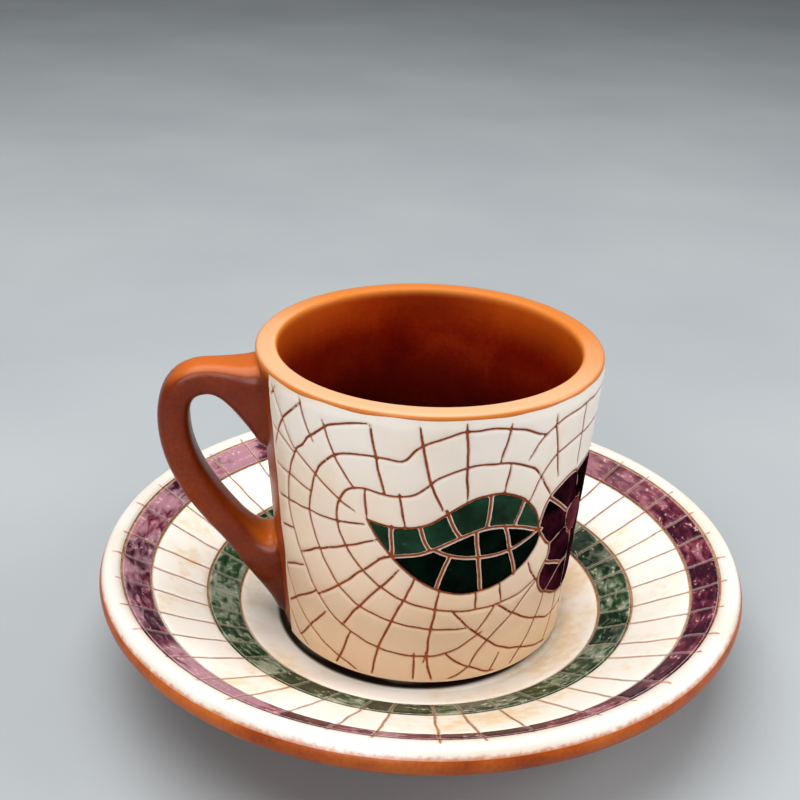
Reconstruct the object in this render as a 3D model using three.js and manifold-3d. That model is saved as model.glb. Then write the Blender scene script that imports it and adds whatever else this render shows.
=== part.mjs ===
// A small coffee cup on its saucer: thrown red clay, a white slip coat scored down to the clay,
// and a leaf and a flower in coloured glaze. Millimetres, +Z up, with the origin on the table
// under the middle of the saucer's foot. The handle points to -X and the leaf looks to -Y.

import * as THREE from 'three';
import { mergeVertices } from 'three/addons/utils/BufferGeometryUtils.js';
import Module from 'manifold-3d';

const wasm = await Module();
wasm.setup();

// Layers on the clay
const layerGap = 0.1; // air between a layer and the clay under it
const slipThickness = 0.4;
const glazeThickness = 0.5; // the glazes stand a little proud of the slip
const scoreWidth = 0.7; // a scored line, cut through to the clay

// Saucer
const saucerRadius = 65.5;
const saucerHeight = 22.3; // top of the clay on the rolled lip
const saucerThickness = 5.0;
const wellRadius = 30.0;
const wellHeight = 6.9; // top of the clay in the well
const wellThickness = 4.4;
const flangeSlope = 28.5; // degrees, where the flange runs into the lip; it starts out flatter at the well
const footOuterRadius = 38.5;
const footWidth = 5.0;
const footDraft = 0.8; // the foot ring narrows by this much on each side towards the table
const lipWidth = 4.3; // from the edge in to the outermost scored circle
const purpleWidth = 5.7;
const creamWidth = 11.1;
const greenWidth = 6.5;
const lipSlipAngle = 32.0; // degrees above the lip's equator where its slip fades out

// Cup
const cupHeight = 60.4;
const rimRadius = 33.4; // outside of the clay at the rim
const baseRadius = 28.9; // outside of the clay at the lower edge of the wall
const wallThickness = 4.0;
const floorThickness = 4.6;
const rimRound = 1.5;
const innerFillet = 7.0;
const cupFootRadius = 26.5;
const cupFootHeight = 1.3;
const cupFootWidth = 4.0;
const cupFootRecess = 1.0;
const wallLowerRound = 0.6;
const seatClearance = 0.05; // between the cup's foot and the slip in the well
const slipTopDrop = 1.0; // from the rim's top down to the slip's upper edge
const bareStripWidth = 20.0; // clay left bare behind the handle

// Handle
const handleThickness = 6.2;
const handleWidth = 8.2;
const handleCorner = 0.32; // corner radius of the strap as a share of its half size
const handleReach = 16.0; // from the rim to the middle of the strap at its widest
const handleBellyHeight = 45.2; // above the cup's foot
const upperJointDrop = 7.4; // from the rim's top to the middle of the upper joint
const lowerJointHeight = 11.2; // above the cup's foot
const upperPull = new THREE.Vector2(8.5, 4.0); // how the strap leaves the upper joint, outwards and up
const lowerPull = new THREE.Vector2(11.0, 11.5); // how it leaves the lower joint, outwards and up
const bellyPullUp = 11.0;
const bellyPullDown = 12.3;
const jointDepth = 6.0; // how far the strap's line runs on past the wall's face before it is cut
const upperSwell = 3.8; // extra thickness where the strap meets the wall at the top
const lowerSwell = 3.0; // and at the bottom
const jointSwellWidth = 5.2; // extra width at both joints
const upperSwellLength = 10.0; // along the strap from the wall
const lowerSwellLength = 14.0;
const jointBed = 0.6; // thickness of the joining slip
const jointBedRim = 1.1; // how far the joining slip squeezes out round the strap
const jointClearance = 0.1;

// Leaf and flower, drawn on the flat and wrapped on the wall
const leafTurn = 5.0; // degrees from -Y towards +X
const leafHeight = 33.2; // leaf's middle above the cup's foot
const leafLength = 33.0;
const leafDepth = 21.2;
const flowerRadius = 13.6;
const flowerDrop = 3.7; // flower's middle below the leaf's
const flowerTuck = 1.2; // how far the leaf's stem end reaches in between two petals
const petalCount = 5;
const heartRadius = 2.8;
const petalGap = 1.4; // white left between neighbouring petals
const petalStraight = 8.5; // a petal's sides run straight out to here, and round over from there
const petalCrown = 5.7; // how far to each side the round of its outer end pulls

// Facets
const turnSteps = 60;
const profileSteps = 4;
const outlineSteps = 6;
const strapSteps = 26;

// Shared heights and radii
const halfScore = scoreWidth / 2;
const cupSeat = wellHeight + layerGap + slipThickness + seatClearance;
const rimHeight = cupSeat + cupHeight;
const wallLow = cupSeat + cupFootHeight;
const wallRadius = (height) =>
  baseRadius + ((rimRadius - baseRadius) * (height - wallLow)) / (rimHeight - wallLow);

// Colours of the fired materials
const clay = { color: 0xb0552a, roughness: 0.35, metalness: 0 };
const whiteSlip = { color: 0xe9e0d6, roughness: 0.25, metalness: 0 };
const greenGlaze = { color: 0x1f4a35, roughness: 0.2, metalness: 0 };
const deepGreenGlaze = { color: 0x0e2a1f, roughness: 0.2, metalness: 0 };
const purpleGlaze = { color: 0x6f2f52, roughness: 0.2, metalness: 0 };
const darkPurpleGlaze = { color: 0x2a1020, roughness: 0.2, metalness: 0 };

const cup = new THREE.Group();
const saucer = new THREE.Group();
const part = new THREE.Group();
part.add(saucer, cup);

function addPiece(group, name, solid, finish) {
  const mesh = solid.getMesh();
  const geometry = new THREE.BufferGeometry();
  geometry.setAttribute('position', new THREE.BufferAttribute(mesh.vertProperties, 3));
  geometry.setIndex(new THREE.BufferAttribute(mesh.triVerts, 1));
  geometry.computeVertexNormals();
  const piece = new THREE.Mesh(geometry, new THREE.MeshStandardMaterial(finish));
  piece.name = name;
  group.add(piece);
}

// Welds a closed geometry's corners and drops the triangles that collapse on the turning axis.
function toSolid(geometry) {
  geometry.deleteAttribute('normal');
  geometry.deleteAttribute('uv');
  const welded = mergeVertices(geometry);
  const corners = welded.index.array;
  const kept = [];
  for (let i = 0; i < corners.length; i += 3) {
    const [a, b, c] = corners.slice(i, i + 3);
    if (a !== b && b !== c && c !== a) kept.push(a, b, c);
  }
  return new wasm.Manifold(
    new wasm.Mesh({
      numProp: 3,
      vertProperties: new Float32Array(welded.attributes.position.array),
      triVerts: new Uint32Array(kept),
    }),
  );
}

// Turns a profile of radius and height round Z. Its points run anticlockwise, with the axis on the left.
function revolve(points) {
  const geometry = new THREE.LatheGeometry(points, turnSteps);
  geometry.rotateX(Math.PI / 2);
  return toSolid(geometry);
}

// Moves an open line to its left by a distance.
function offsetLine(points, distance) {
  return points.map((point, i) => {
    const before = points[Math.max(i - 1, 0)];
    const after = points[Math.min(i + 1, points.length - 1)];
    const run = after.clone().sub(before).normalize();
    return point.clone().add(new THREE.Vector2(-run.y, run.x).multiplyScalar(distance));
  });
}

// The stretch of a line between two radii, where the radius only grows along it.
function stretch(line, fromRadius, toRadius) {
  const at = (radius) => {
    const i = line.findIndex((point) => point.x >= radius);
    const share = (radius - line[i - 1].x) / (line[i].x - line[i - 1].x);
    return line[i - 1].clone().lerp(line[i], share);
  };
  const inside = line.filter((point) => point.x > fromRadius && point.x < toRadius);
  const first = fromRadius > 0 ? at(fromRadius) : line[0];
  const last = toRadius < line.at(-1).x ? at(toRadius) : line.at(-1);
  return [first, ...inside, last];
}

// Saucer: the clay's upper line runs from the axis over the well and flange to the lip's equator.
const lipRadius = saucerThickness / 2;
const lipMiddle = new THREE.Vector2(saucerRadius - lipRadius, saucerHeight - lipRadius);
const flangeRun = THREE.MathUtils.degToRad(flangeSlope);
const lipStart = flangeRun + Math.PI / 2;
const flangeTop = new THREE.Vector2(Math.cos(lipStart), Math.sin(lipStart))
  .multiplyScalar(lipRadius)
  .add(lipMiddle);
const flangeMiddle = (wellRadius + flangeTop.x) / 2;
const flangeControl = new THREE.Vector2(
  flangeMiddle,
  flangeTop.y - (flangeTop.x - flangeMiddle) * Math.tan(flangeRun),
);

const upperPath = new THREE.Path();
upperPath.moveTo(0, wellHeight);
upperPath.lineTo(wellRadius, wellHeight);
upperPath.quadraticCurveTo(flangeControl.x, flangeControl.y, flangeTop.x, flangeTop.y);
upperPath.absarc(lipMiddle.x, lipMiddle.y, lipRadius, lipStart, 0, true);
const saucerUpper = upperPath.getPoints(profileSteps);

const footMeets = new THREE.Vector2(footOuterRadius, wellHeight - wellThickness / 2);
const lowerPath = new THREE.Path();
lowerPath.moveTo(0, wellHeight - wellThickness);
lowerPath.lineTo(footOuterRadius - footWidth - footDraft, wellHeight - wellThickness);
lowerPath.lineTo(footOuterRadius - footWidth, 0);
lowerPath.lineTo(footOuterRadius - footDraft, 0);
lowerPath.lineTo(footMeets.x, footMeets.y);
const lipEnd = lipStart - Math.PI;
const flangeUnder = new THREE.Vector2(Math.cos(lipEnd), Math.sin(lipEnd))
  .multiplyScalar(lipRadius)
  .add(lipMiddle);
lowerPath.quadraticCurveTo(
  flangeControl.x + saucerThickness * Math.sin(flangeRun),
  flangeControl.y - saucerThickness * Math.cos(flangeRun),
  flangeUnder.x,
  flangeUnder.y,
);
lowerPath.absarc(lipMiddle.x, lipMiddle.y, lipRadius, lipEnd, 0, false);
const saucerLower = lowerPath.getPoints(profileSteps);
addPiece(saucer, 'saucer_body', revolve([...saucerLower, ...saucerUpper.toReversed().slice(1)]), clay);

// A layer on the saucer between two scored circles, or from the axis out.
function saucerLayer(name, fromCircle, toCircle, thickness, finish) {
  const fromRadius = fromCircle > 0 ? fromCircle + halfScore : 0;
  const toRadius = toCircle - halfScore;
  const under = stretch(offsetLine(saucerUpper, layerGap), fromRadius, toRadius);
  const over = stretch(offsetLine(saucerUpper, layerGap + thickness), fromRadius, toRadius);
  const outline = [...under, ...over.toReversed()];
  if (fromRadius > 0) outline.push(under[0].clone());
  addPiece(saucer, name, revolve(outline), finish);
}
const purpleOuterRadius = saucerRadius - lipWidth;
const purpleInnerRadius = purpleOuterRadius - purpleWidth;
const greenOuterRadius = purpleInnerRadius - creamWidth;
const greenInnerRadius = greenOuterRadius - greenWidth;
const lipSlipEnd = lipMiddle.x + lipRadius * Math.cos(THREE.MathUtils.degToRad(lipSlipAngle));
saucerLayer('saucer_well_slip', 0, greenInnerRadius, slipThickness, whiteSlip);
saucerLayer('saucer_green_band', greenInnerRadius, greenOuterRadius, glazeThickness, greenGlaze);
saucerLayer('saucer_cream_band', greenOuterRadius, purpleInnerRadius, slipThickness, whiteSlip);
saucerLayer('saucer_purple_band', purpleInnerRadius, purpleOuterRadius, glazeThickness, purpleGlaze);
saucerLayer('saucer_lip_slip', purpleOuterRadius, lipSlipEnd, slipThickness, whiteSlip);

// Cup: one turned profile from the foot's recess up the wall, over the rim and down to the floor.
const floorHeight = wallLow + floorThickness;
const filletHeight = floorHeight + innerFillet;
const rimLow = rimHeight - rimRound;
const slipLow = wallLow + wallLowerRound;
const slipHigh = rimHeight - slipTopDrop;
const innerRadius = (height) => wallRadius(height) - wallThickness;
const floorRadius = innerRadius(floorHeight);
const cupPath = new THREE.Path();
cupPath.moveTo(0, cupSeat + cupFootRecess);
cupPath.lineTo(cupFootRadius - cupFootWidth, cupSeat + cupFootRecess);
cupPath.lineTo(cupFootRadius - cupFootWidth + cupFootRecess, cupSeat);
cupPath.lineTo(cupFootRadius, cupSeat);
cupPath.lineTo(cupFootRadius, wallLow - wallLowerRound / 2);
cupPath.quadraticCurveTo(baseRadius, wallLow - wallLowerRound / 2, wallRadius(slipLow), slipLow);
cupPath.lineTo(wallRadius(rimLow), rimLow);
cupPath.quadraticCurveTo(rimRadius, rimHeight, rimRadius - rimRound, rimHeight);
cupPath.lineTo(rimRadius - wallThickness + rimRound, rimHeight);
cupPath.quadraticCurveTo(rimRadius - wallThickness, rimHeight, innerRadius(rimLow), rimLow);
cupPath.lineTo(innerRadius(filletHeight), filletHeight);
cupPath.quadraticCurveTo(floorRadius, floorHeight, floorRadius - innerFillet, floorHeight);
cupPath.lineTo(0, floorHeight);
addPiece(cup, 'cup_body', revolve(cupPath.getPoints(profileSteps)), clay);

// A shell on the outside of the wall, between two distances from the clay and two heights.
function wallShell(inner, outer, low, high) {
  const wall = [new THREE.Vector2(wallRadius(high), high), new THREE.Vector2(wallRadius(low), low)];
  const inside = offsetLine(wall, inner);
  const outside = offsetLine(wall, outer).toReversed();
  return revolve([...inside, ...outside, inside[0].clone()]);
}

// A straight prism that runs out from the axis at a turn from -Y. Its outline is drawn as seen from outside.
function prism(outline, turn, height) {
  const depth = rimRadius + handleReach;
  const geometry = new THREE.ExtrudeGeometry(new THREE.Shape(outline), { depth, bevelEnabled: false });
  geometry.rotateX(Math.PI / 2);
  geometry.rotateZ(THREE.MathUtils.degToRad(turn));
  geometry.translate(0, 0, height);
  return toSolid(geometry);
}

// Grows a closed outline that runs anticlockwise, or shrinks it with a negative distance.
function growOutline(points, distance) {
  const ring = [points.at(-1), ...points, points[0]];
  return offsetLine(ring, -distance).slice(1, -1);
}

function closedOutline(path) {
  const points = path.getPoints(outlineSteps);
  const outline = points.slice(0, points.at(-1).distanceTo(points[0]) < layerGap ? -1 : undefined);
  return THREE.ShapeUtils.isClockWise(outline) ? outline.toReversed() : outline;
}

// Leaf: a dip behind the tip, a high shoulder, a stem end at the right and a deep belly.
const halfLength = leafLength / 2;
const halfDepth = leafDepth / 2;
const leafPoint = (along, up) => [along * halfLength, up * halfDepth];
const leafPath = new THREE.Path();
leafPath.moveTo(...leafPoint(-1, 0.44));
leafPath.bezierCurveTo(...leafPoint(-0.8, 0.34), ...leafPoint(-0.59, 0.34), ...leafPoint(-0.4, 0.45));
leafPath.bezierCurveTo(...leafPoint(-0.22, 0.58), ...leafPoint(0, 1), ...leafPoint(0.31, 1));
leafPath.bezierCurveTo(...leafPoint(0.69, 1), ...leafPoint(0.94, 0.45), ...leafPoint(0.95, 0.02));
leafPath.bezierCurveTo(...leafPoint(1.06, -0.45), ...leafPoint(0.6, -1), ...leafPoint(0.12, -1));
leafPath.bezierCurveTo(...leafPoint(-0.37, -1), ...leafPoint(-0.8, -0.28), ...leafPoint(-1, 0.44));
const leafOutline = closedOutline(leafPath);
const past = 1.2; // a little past the leaf's own outline
const midribPath = new THREE.Path();
midribPath.moveTo(...leafPoint(-past, -0.4));
midribPath.bezierCurveTo(...leafPoint(-0.2, -0.1), ...leafPoint(0.3, 0.9), ...leafPoint(past, -0.25));
const midrib = midribPath.getPoints(outlineSteps);
const leafCorner = (along, up) => new THREE.Vector2(...leafPoint(along, up));
const aboveMidrib = [
  ...offsetLine(midrib, halfScore),
  leafCorner(past, past),
  leafCorner(-past, past),
];
const belowMidrib = [
  leafCorner(-past, -past),
  leafCorner(past, -past),
  ...offsetLine(midrib, -halfScore).toReversed(),
];

// Flower: petals round a heart, past the leaf's stem end.
const leafMiddle = cupSeat + leafHeight;
const flowerMiddle = leafMiddle - flowerDrop;
const turnOf = (width) => THREE.MathUtils.radToDeg(Math.asin(width / wallRadius(leafMiddle)));
const flowerTurn = leafTurn + turnOf(halfLength) + turnOf(flowerRadius) - turnOf(flowerTuck);
const petalShare = Math.PI / petalCount;
const petalRoot = heartRadius + petalGap;
const petalSide = (radius) => [
  radius * Math.sin(petalShare) - (petalGap / 2) * Math.cos(petalShare),
  radius * Math.cos(petalShare) + (petalGap / 2) * Math.sin(petalShare),
];
function petalOutline(turn) {
  const [rootX, rootY] = petalSide(petalRoot);
  const [sideX, sideY] = petalSide(petalStraight);
  const [pullX, pullY] = petalSide(flowerRadius);
  const path = new THREE.Path();
  path.moveTo(rootX, rootY);
  path.lineTo(sideX, sideY);
  path.bezierCurveTo(pullX, pullY, petalCrown, flowerRadius, 0, flowerRadius);
  path.bezierCurveTo(-petalCrown, flowerRadius, -pullX, pullY, -sideX, sideY);
  path.lineTo(-rootX, rootY);
  const middle = new THREE.Vector2();
  return closedOutline(path).map((point) => point.rotateAround(middle, turn));
}
const towardsLeaf = Math.PI / 2; // a gap between two petals faces the leaf
const petals = Array.from({ length: petalCount }, (_, i) => {
  return petalOutline(towardsLeaf + petalShare * (2 * i + 1));
});
const heartPath = new THREE.Path();
heartPath.absarc(0, 0, heartRadius, 0, 2 * Math.PI, false);
const heart = closedOutline(heartPath);

// The white coat, with the bare strip and a scored window round each glaze field cut out of it.
const handleTurn = -90;
const stripEdge = bareStripWidth / 2;
const strip = [
  new THREE.Vector2(-stripEdge, 0),
  new THREE.Vector2(stripEdge, 0),
  new THREE.Vector2(stripEdge, rimHeight),
  new THREE.Vector2(-stripEdge, rimHeight),
];
let coat = wallShell(layerGap, layerGap + slipThickness, slipLow, slipHigh);
coat = coat.subtract(prism(strip, handleTurn, 0));
coat = coat.subtract(prism(growOutline(leafOutline, halfScore), leafTurn, leafMiddle));
for (const field of [...petals, heart]) {
  coat = coat.subtract(prism(growOutline(field, halfScore), flowerTurn, flowerMiddle));
}
addPiece(cup, 'cup_slip_coat', coat, whiteSlip);

const glaze = wallShell(layerGap, layerGap + glazeThickness, slipLow, slipHigh);
const leaf = glaze.intersect(prism(growOutline(leafOutline, -halfScore), leafTurn, leafMiddle));
addPiece(cup, 'leaf_upper_glaze', leaf.intersect(prism(aboveMidrib, leafTurn, leafMiddle)), greenGlaze);
addPiece(cup, 'leaf_lower_glaze', leaf.intersect(prism(belowMidrib, leafTurn, leafMiddle)), deepGreenGlaze);
petals.forEach((outline, i) => {
  const field = prism(growOutline(outline, -halfScore / 2), flowerTurn, flowerMiddle);
  addPiece(cup, `flower_petal_${i + 1}`, glaze.intersect(field), darkPurpleGlaze);
});
const heartField = prism(growOutline(heart, -halfScore / 2), flowerTurn, flowerMiddle);
addPiece(cup, 'flower_heart', glaze.intersect(heartField), purpleGlaze);

// Handle: a strap lofted along two curves that meet at its belly, swelling towards both joints.
function strapEnd(height, pull) {
  const onWall = new THREE.Vector2(-wallRadius(height), height);
  const out = new THREE.Vector2(-pull.x, pull.y);
  const inWall = onWall.clone().addScaledVector(out.clone().normalize(), -jointDepth);
  return { inWall, control: onWall.add(out) };
}
const upperEnd = strapEnd(rimHeight - upperJointDrop, upperPull);
const lowerEnd = strapEnd(cupSeat + lowerJointHeight, lowerPull);
const belly = new THREE.Vector2(-rimRadius - handleReach, cupSeat + handleBellyHeight);
const aboveBelly = new THREE.Vector2(belly.x, belly.y + bellyPullUp);
const belowBelly = new THREE.Vector2(belly.x, belly.y - bellyPullDown);
const strapLine = new THREE.CurvePath();
strapLine.add(new THREE.CubicBezierCurve(upperEnd.inWall, upperEnd.control, aboveBelly, belly));
strapLine.add(new THREE.CubicBezierCurve(belly, belowBelly, lowerEnd.control, lowerEnd.inWall));

// The strap with its section grown all round by a margin.
function strap(margin) {
  const edge = 1 - handleCorner;
  const section = new THREE.Shape();
  section.absarc(edge, edge, handleCorner, 0, Math.PI / 2, false);
  section.absarc(-edge, edge, handleCorner, Math.PI / 2, Math.PI, false);
  section.absarc(-edge, -edge, handleCorner, Math.PI, 1.5 * Math.PI, false);
  section.absarc(edge, -edge, handleCorner, 1.5 * Math.PI, 2 * Math.PI, false);
  const geometry = new THREE.ExtrudeGeometry(section, {
    depth: 1,
    steps: strapSteps,
    curveSegments: 2,
    bevelEnabled: false,
  });
  const corners = geometry.attributes.position;
  const length = strapLine.getLength();
  for (let i = 0; i < corners.count; i += 1) {
    const along = THREE.MathUtils.clamp(corners.getZ(i), 0, 1);
    const middle = strapLine.getPointAt(along);
    const run = strapLine.getTangentAt(along);
    const fromUpper = along * length - jointDepth;
    const fromLower = (1 - along) * length - jointDepth;
    const upper = 1 - THREE.MathUtils.smoothstep(fromUpper, 0, upperSwellLength);
    const lower = 1 - THREE.MathUtils.smoothstep(fromLower, 0, lowerSwellLength);
    const thickness = handleThickness + upperSwell * upper + lowerSwell * lower;
    const width = handleWidth + jointSwellWidth * (upper + lower);
    const out = corners.getX(i) * (thickness / 2 + margin);
    const side = -corners.getY(i) * (width / 2 + margin);
    corners.setXYZ(i, middle.x - run.y * out, side, middle.y + run.x * out);
  }
  return toSolid(geometry);
}

const bedOuter = layerGap + jointBed;
const bedShell = wallShell(layerGap, bedOuter, slipLow, rimLow);
const bedCore = wallShell(-wallThickness / 2, bedOuter + jointClearance, cupSeat, rimHeight);
const strapBody = strap(0).subtract(bedCore);
const strapOutside = strapBody.decompose().sort((a, b) => b.volume() - a.volume())[0];
addPiece(cup, 'cup_handle', strapOutside, clay);
const beds = bedShell.intersect(strap(jointBedRim)).decompose();
beds.sort((a, b) => b.boundingBox().max[2] - a.boundingBox().max[2]);
addPiece(cup, 'handle_upper_joint', beds[0], clay);
addPiece(cup, 'handle_lower_joint', beds.at(-1), clay);

export default part;
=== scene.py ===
# %% [markdown]
# # A coffee cup and its saucer in scored red clay
# The set is thrown in red clay, dipped in white slip, and scored down to the clay while the slip
# is still soft. A leaf, a flower and two rings are then filled with coloured glaze and the whole
# is fired under a clear gloss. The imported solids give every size; this lesson dresses them.

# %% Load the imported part
import math

import bmesh
import bpy
import numpy as np
from bmesh.types import BMEdge, BMFace, BMVert
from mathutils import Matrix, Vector, noise


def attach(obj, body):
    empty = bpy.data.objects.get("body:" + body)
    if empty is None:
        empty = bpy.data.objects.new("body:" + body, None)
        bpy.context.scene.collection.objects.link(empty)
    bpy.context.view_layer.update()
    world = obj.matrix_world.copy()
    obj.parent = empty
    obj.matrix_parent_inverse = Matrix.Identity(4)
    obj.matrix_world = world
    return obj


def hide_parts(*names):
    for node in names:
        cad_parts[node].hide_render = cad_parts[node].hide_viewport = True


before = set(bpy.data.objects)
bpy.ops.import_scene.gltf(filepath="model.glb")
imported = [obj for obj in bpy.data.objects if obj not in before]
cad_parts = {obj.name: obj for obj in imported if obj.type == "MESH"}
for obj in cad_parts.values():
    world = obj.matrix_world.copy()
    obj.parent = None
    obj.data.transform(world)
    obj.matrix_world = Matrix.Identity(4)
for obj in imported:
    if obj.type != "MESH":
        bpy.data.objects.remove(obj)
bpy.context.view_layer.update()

MM = 0.001

# %% [markdown]
# ## Camera
# The photograph looks down on the set by about 25 degrees from a little over a quarter of a metre.
# A camera can be turned by three angles, but a place, a point to look at and a small roll are
# easier to set from a picture, so those three are the values here.

# %% Place the camera
CAMERA_PLACE = Vector((-30.7, -218.5, 157.5)) * MM
CAMERA_AIM = Vector((-1.1, 22.7, 44.6)) * MM
CAMERA_ROLL = math.radians(2.0)
camera = bpy.data.objects.new("camera", bpy.data.cameras.new("camera"))
bpy.context.collection.objects.link(camera)
camera.location = CAMERA_PLACE
camera.rotation_euler = (CAMERA_AIM - CAMERA_PLACE).to_track_quat("-Z", "Y").to_euler()
camera.rotation_euler.rotate_axis("Z", CAMERA_ROLL)
camera.data.sensor_width = 36
camera.data.lens = 55.5
camera.data.shift_x = -8.0 / 800
bpy.context.scene.camera = camera
sight = (CAMERA_AIM - CAMERA_PLACE).normalized()
print("camera looks down by", round(math.degrees(math.asin(-sight.z)), 1))

# %% [markdown]
# ## Shader sums
# A finish is a net of nodes. Wiring each sum by hand hides the idea, so a socket is wrapped in a
# small class: adding or multiplying two wires adds a Math node. Every other node comes from one
# method that takes its type, its settings and the values or wires of its sockets.


# %% Wires and finishes
class Wire:
    def __init__(self, finish, socket):
        self.finish = finish
        self.socket = socket

    def maths(self, operation, first, second):
        return self.finish.node("Math", {"operation": operation}, {0: first, 1: second})

    def __add__(self, other):
        return self.maths("ADD", self, other)

    def __sub__(self, other):
        return self.maths("SUBTRACT", self, other)

    def __rsub__(self, other):
        return self.maths("SUBTRACT", other, self)

    def __mul__(self, other):
        return self.maths("MULTIPLY", self, other)

    __radd__ = __add__
    __rmul__ = __mul__


class Finish:
    def __init__(self, name):
        self.material = bpy.data.materials.new(name)
        self.material.use_nodes = True
        self.tree = self.material.node_tree
        self.tree.nodes.clear()

    def node(self, kind, settings=None, sockets=None, out=0):
        made = self.tree.nodes.new("ShaderNode" + kind)
        for key, value in (settings or {}).items():
            if key == "stops":
                self.set_stops(made.color_ramp.elements, value)
            else:
                setattr(made, key, value)
        for key, value in (sockets or {}).items():
            if isinstance(value, Wire):
                self.tree.links.new(value.socket, made.inputs[key])
            else:
                made.inputs[key].default_value = value
        return Wire(self, made.outputs[out]) if made.outputs else None

    def set_stops(self, elements, stops):
        while len(elements) < len(stops):
            elements.new(1.0)
        for element, (at, colour) in zip(elements, stops):
            element.position = at
            element.color = (*colour, 1)

    def place(self):
        return self.node("TexCoord", out="Object")

    def axis(self, name, vector=None):
        return self.node("SeparateXYZ", {}, {"Vector": vector or self.place()}, out=name)

    def noise(self, scale, detail=3.0, vector=None, distortion=0.0):
        sockets = {"Vector": vector or self.place(), "Scale": scale, "Detail": detail}
        sockets["Distortion"] = distortion
        return self.node("TexNoise", {}, sockets)

    def ramp(self, value, stops):
        return self.node("ValToRGB", {"stops": stops}, {0: value})

    def step(self, value, low, high):
        sockets = {"Value": value, "From Min": low, "From Max": high}
        return self.node("MapRange", {"interpolation_type": "SMOOTHSTEP"}, sockets)

    def mix(self, share, first, second):
        colours = [c if isinstance(c, Wire) else (*c, 1) for c in (first, second)]
        sockets = {0: share, 6: colours[0], 7: colours[1]}
        return self.node("Mix", {"data_type": "RGBA"}, sockets, out=2)

    def attribute(self, name):
        return self.node("Attribute", {"attribute_name": name}, out="Fac")

    def bump(self, height, depth, strength=1.0):
        return self.node("Bump", {}, {"Height": height, "Distance": depth, "Strength": strength})

    def close(self, **sockets):
        titles = [key.replace("_", " ").title().replace("Ior", "IOR") for key in sockets]
        shader = self.node("BsdfPrincipled", {}, dict(zip(titles, sockets.values())))
        self.node("OutputMaterial", {}, {"Surface": shader})
        return self.material


print("finishes are built from", Finish.__name__, "and", Wire.__name__)

# %% [markdown]
# ## Red clay under clear glaze
# The bare clay is orange-brown with darker, more fired patches and fine sandy grains, and the
# clear glaze over it is glossy but not mirror flat. Two noises give patches and grain, and the
# coat of the Principled shader is the glaze. The height and the surface's own upward share paint
# light and shade into the colour: upward faces pale as painted top light, partly where glaze runs
# thin; low and deep places darker as painted shade, partly where glaze pools, with the cup's foot a
# painted shadow; a painted glow inside below the rim and a painted highlight on the rim's front.

# %% Red clay
THROWN_TONES = (0.22, 0.034, 0.003), (0.33, 0.061, 0.006), (0.45, 0.112, 0.017)
WALL_TONES = (0.15, 0.020, 0.003), (0.23, 0.034, 0.005), (0.33, 0.065, 0.012)
PULLED_TONES = (0.105, 0.011, 0.001), (0.165, 0.020, 0.002), (0.26, 0.043, 0.004)
# Darker copies of the clay for the inside of the cup: painted shade.
INSIDE_SHADE_TONES = (0.14, 0.004, 0.001), (0.20, 0.009, 0.001), (0.30, 0.024, 0.002)
# The rim is lighter than the wall, partly thin glaze and partly painted top light; its pale colour
# is a painted highlight at the front.
CLAY_RIM = (0.57, 0.180, 0.030)
CLAY_RIM_HIGHLIGHT = (0.66, 0.385, 0.205)
# A painted glow of orange light inside the cup below the rim.
CLAY_GLOW = (0.50, 0.085, 0.006)
# Pale clay for upward faces: partly thin glaze, partly painted top light.
CLAY_THIN_AND_LIT = (0.45, 0.098, 0.007)
# Near-black for painted shade low down and inside, partly where glaze pools.
CLAY_POOL_AND_SHADE = (0.018, 0.001, 0.001)
GLOW_SIDES = 5.0 * MM, 26.0 * MM
# Where the rim's painted highlight fades, from the front towards the back.
RIM_HIGHLIGHT_FRONT = 26.0 * MM, -22.0 * MM
THROWING_RINGS = 2600.0


def red_clay(name, tones, gloss, ring_depth, rim=None, pool_and_shade=None, glow=None, thin_and_lit_tops=False):
    """Red clay with painted shade low down and inside, painted top light, a painted glow and a
    painted rim highlight.
    """
    clay = Finish(name)
    patches = clay.noise(70.0, 4.0, distortion=0.4)
    grain = clay.noise(1400.0, 2.0)
    tone = patches * 0.75 + grain * 0.25
    colour = clay.ramp(tone, list(zip((0.34, 0.5, 0.7), tones)))
    across, along, height = map(clay.axis, "XYZ")
    facing = clay.axis("Z", clay.node("NewGeometry", out="Normal"))
    # Painted shade: darker low down; at the cup's foot a painted shadow, inside partly pooled glaze.
    if pool_and_shade:
        share = clay.step(height + patches * (3.0 * MM), pool_and_shade[1], pool_and_shade[0])
        colour = clay.mix(share, colour, CLAY_POOL_AND_SHADE)
    # Painted light: a glow inside below the rim, stronger on the sides than at the middle.
    if glow:
        aside = clay.node("Math", {"operation": "ABSOLUTE"}, {0: across})
        share = clay.step(height, *glow) * (clay.step(aside, *GLOW_SIDES) * 0.65 + 0.2)
        colour = clay.mix(share, colour, CLAY_GLOW)
    # Painted highlight: the rim's upward faces pale towards the front, on a rim that is lighter,
    # partly thin glaze and partly painted top light.
    if rim:
        front = clay.step(along + across * 0.4 + (patches - 0.5) * (24.0 * MM), *RIM_HIGHLIGHT_FRONT)
        rubbed_and_highlit = clay.mix(front * clay.step(facing, 0.55, 0.97), CLAY_RIM, CLAY_RIM_HIGHLIGHT)
        colour = clay.mix(clay.step(height, *rim) * 0.85, colour, rubbed_and_highlit)
    # Painted top light: upward faces pale, partly where glaze runs thin.
    if thin_and_lit_tops:
        colour = clay.mix(clay.step(facing + (patches - 0.5) * 0.3, 0.35, 1.0), colour, CLAY_THIN_AND_LIT)
    wander = clay.noise(45.0, 1.0)
    rings = clay.node("Math", {"operation": "SINE"}, {0: height * THROWING_RINGS + wander * 9.0})
    relief = rings * ring_depth + grain * 0.25 + patches * 0.4
    return clay.close(
        base_color=colour,
        roughness=0.26 + grain * 0.16,
        specular_ior_level=gloss,
        coat_weight=gloss * 0.3,
        coat_roughness=0.06,
        normal=clay.bump(relief, 0.12 * MM, 0.5),
    )


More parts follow.
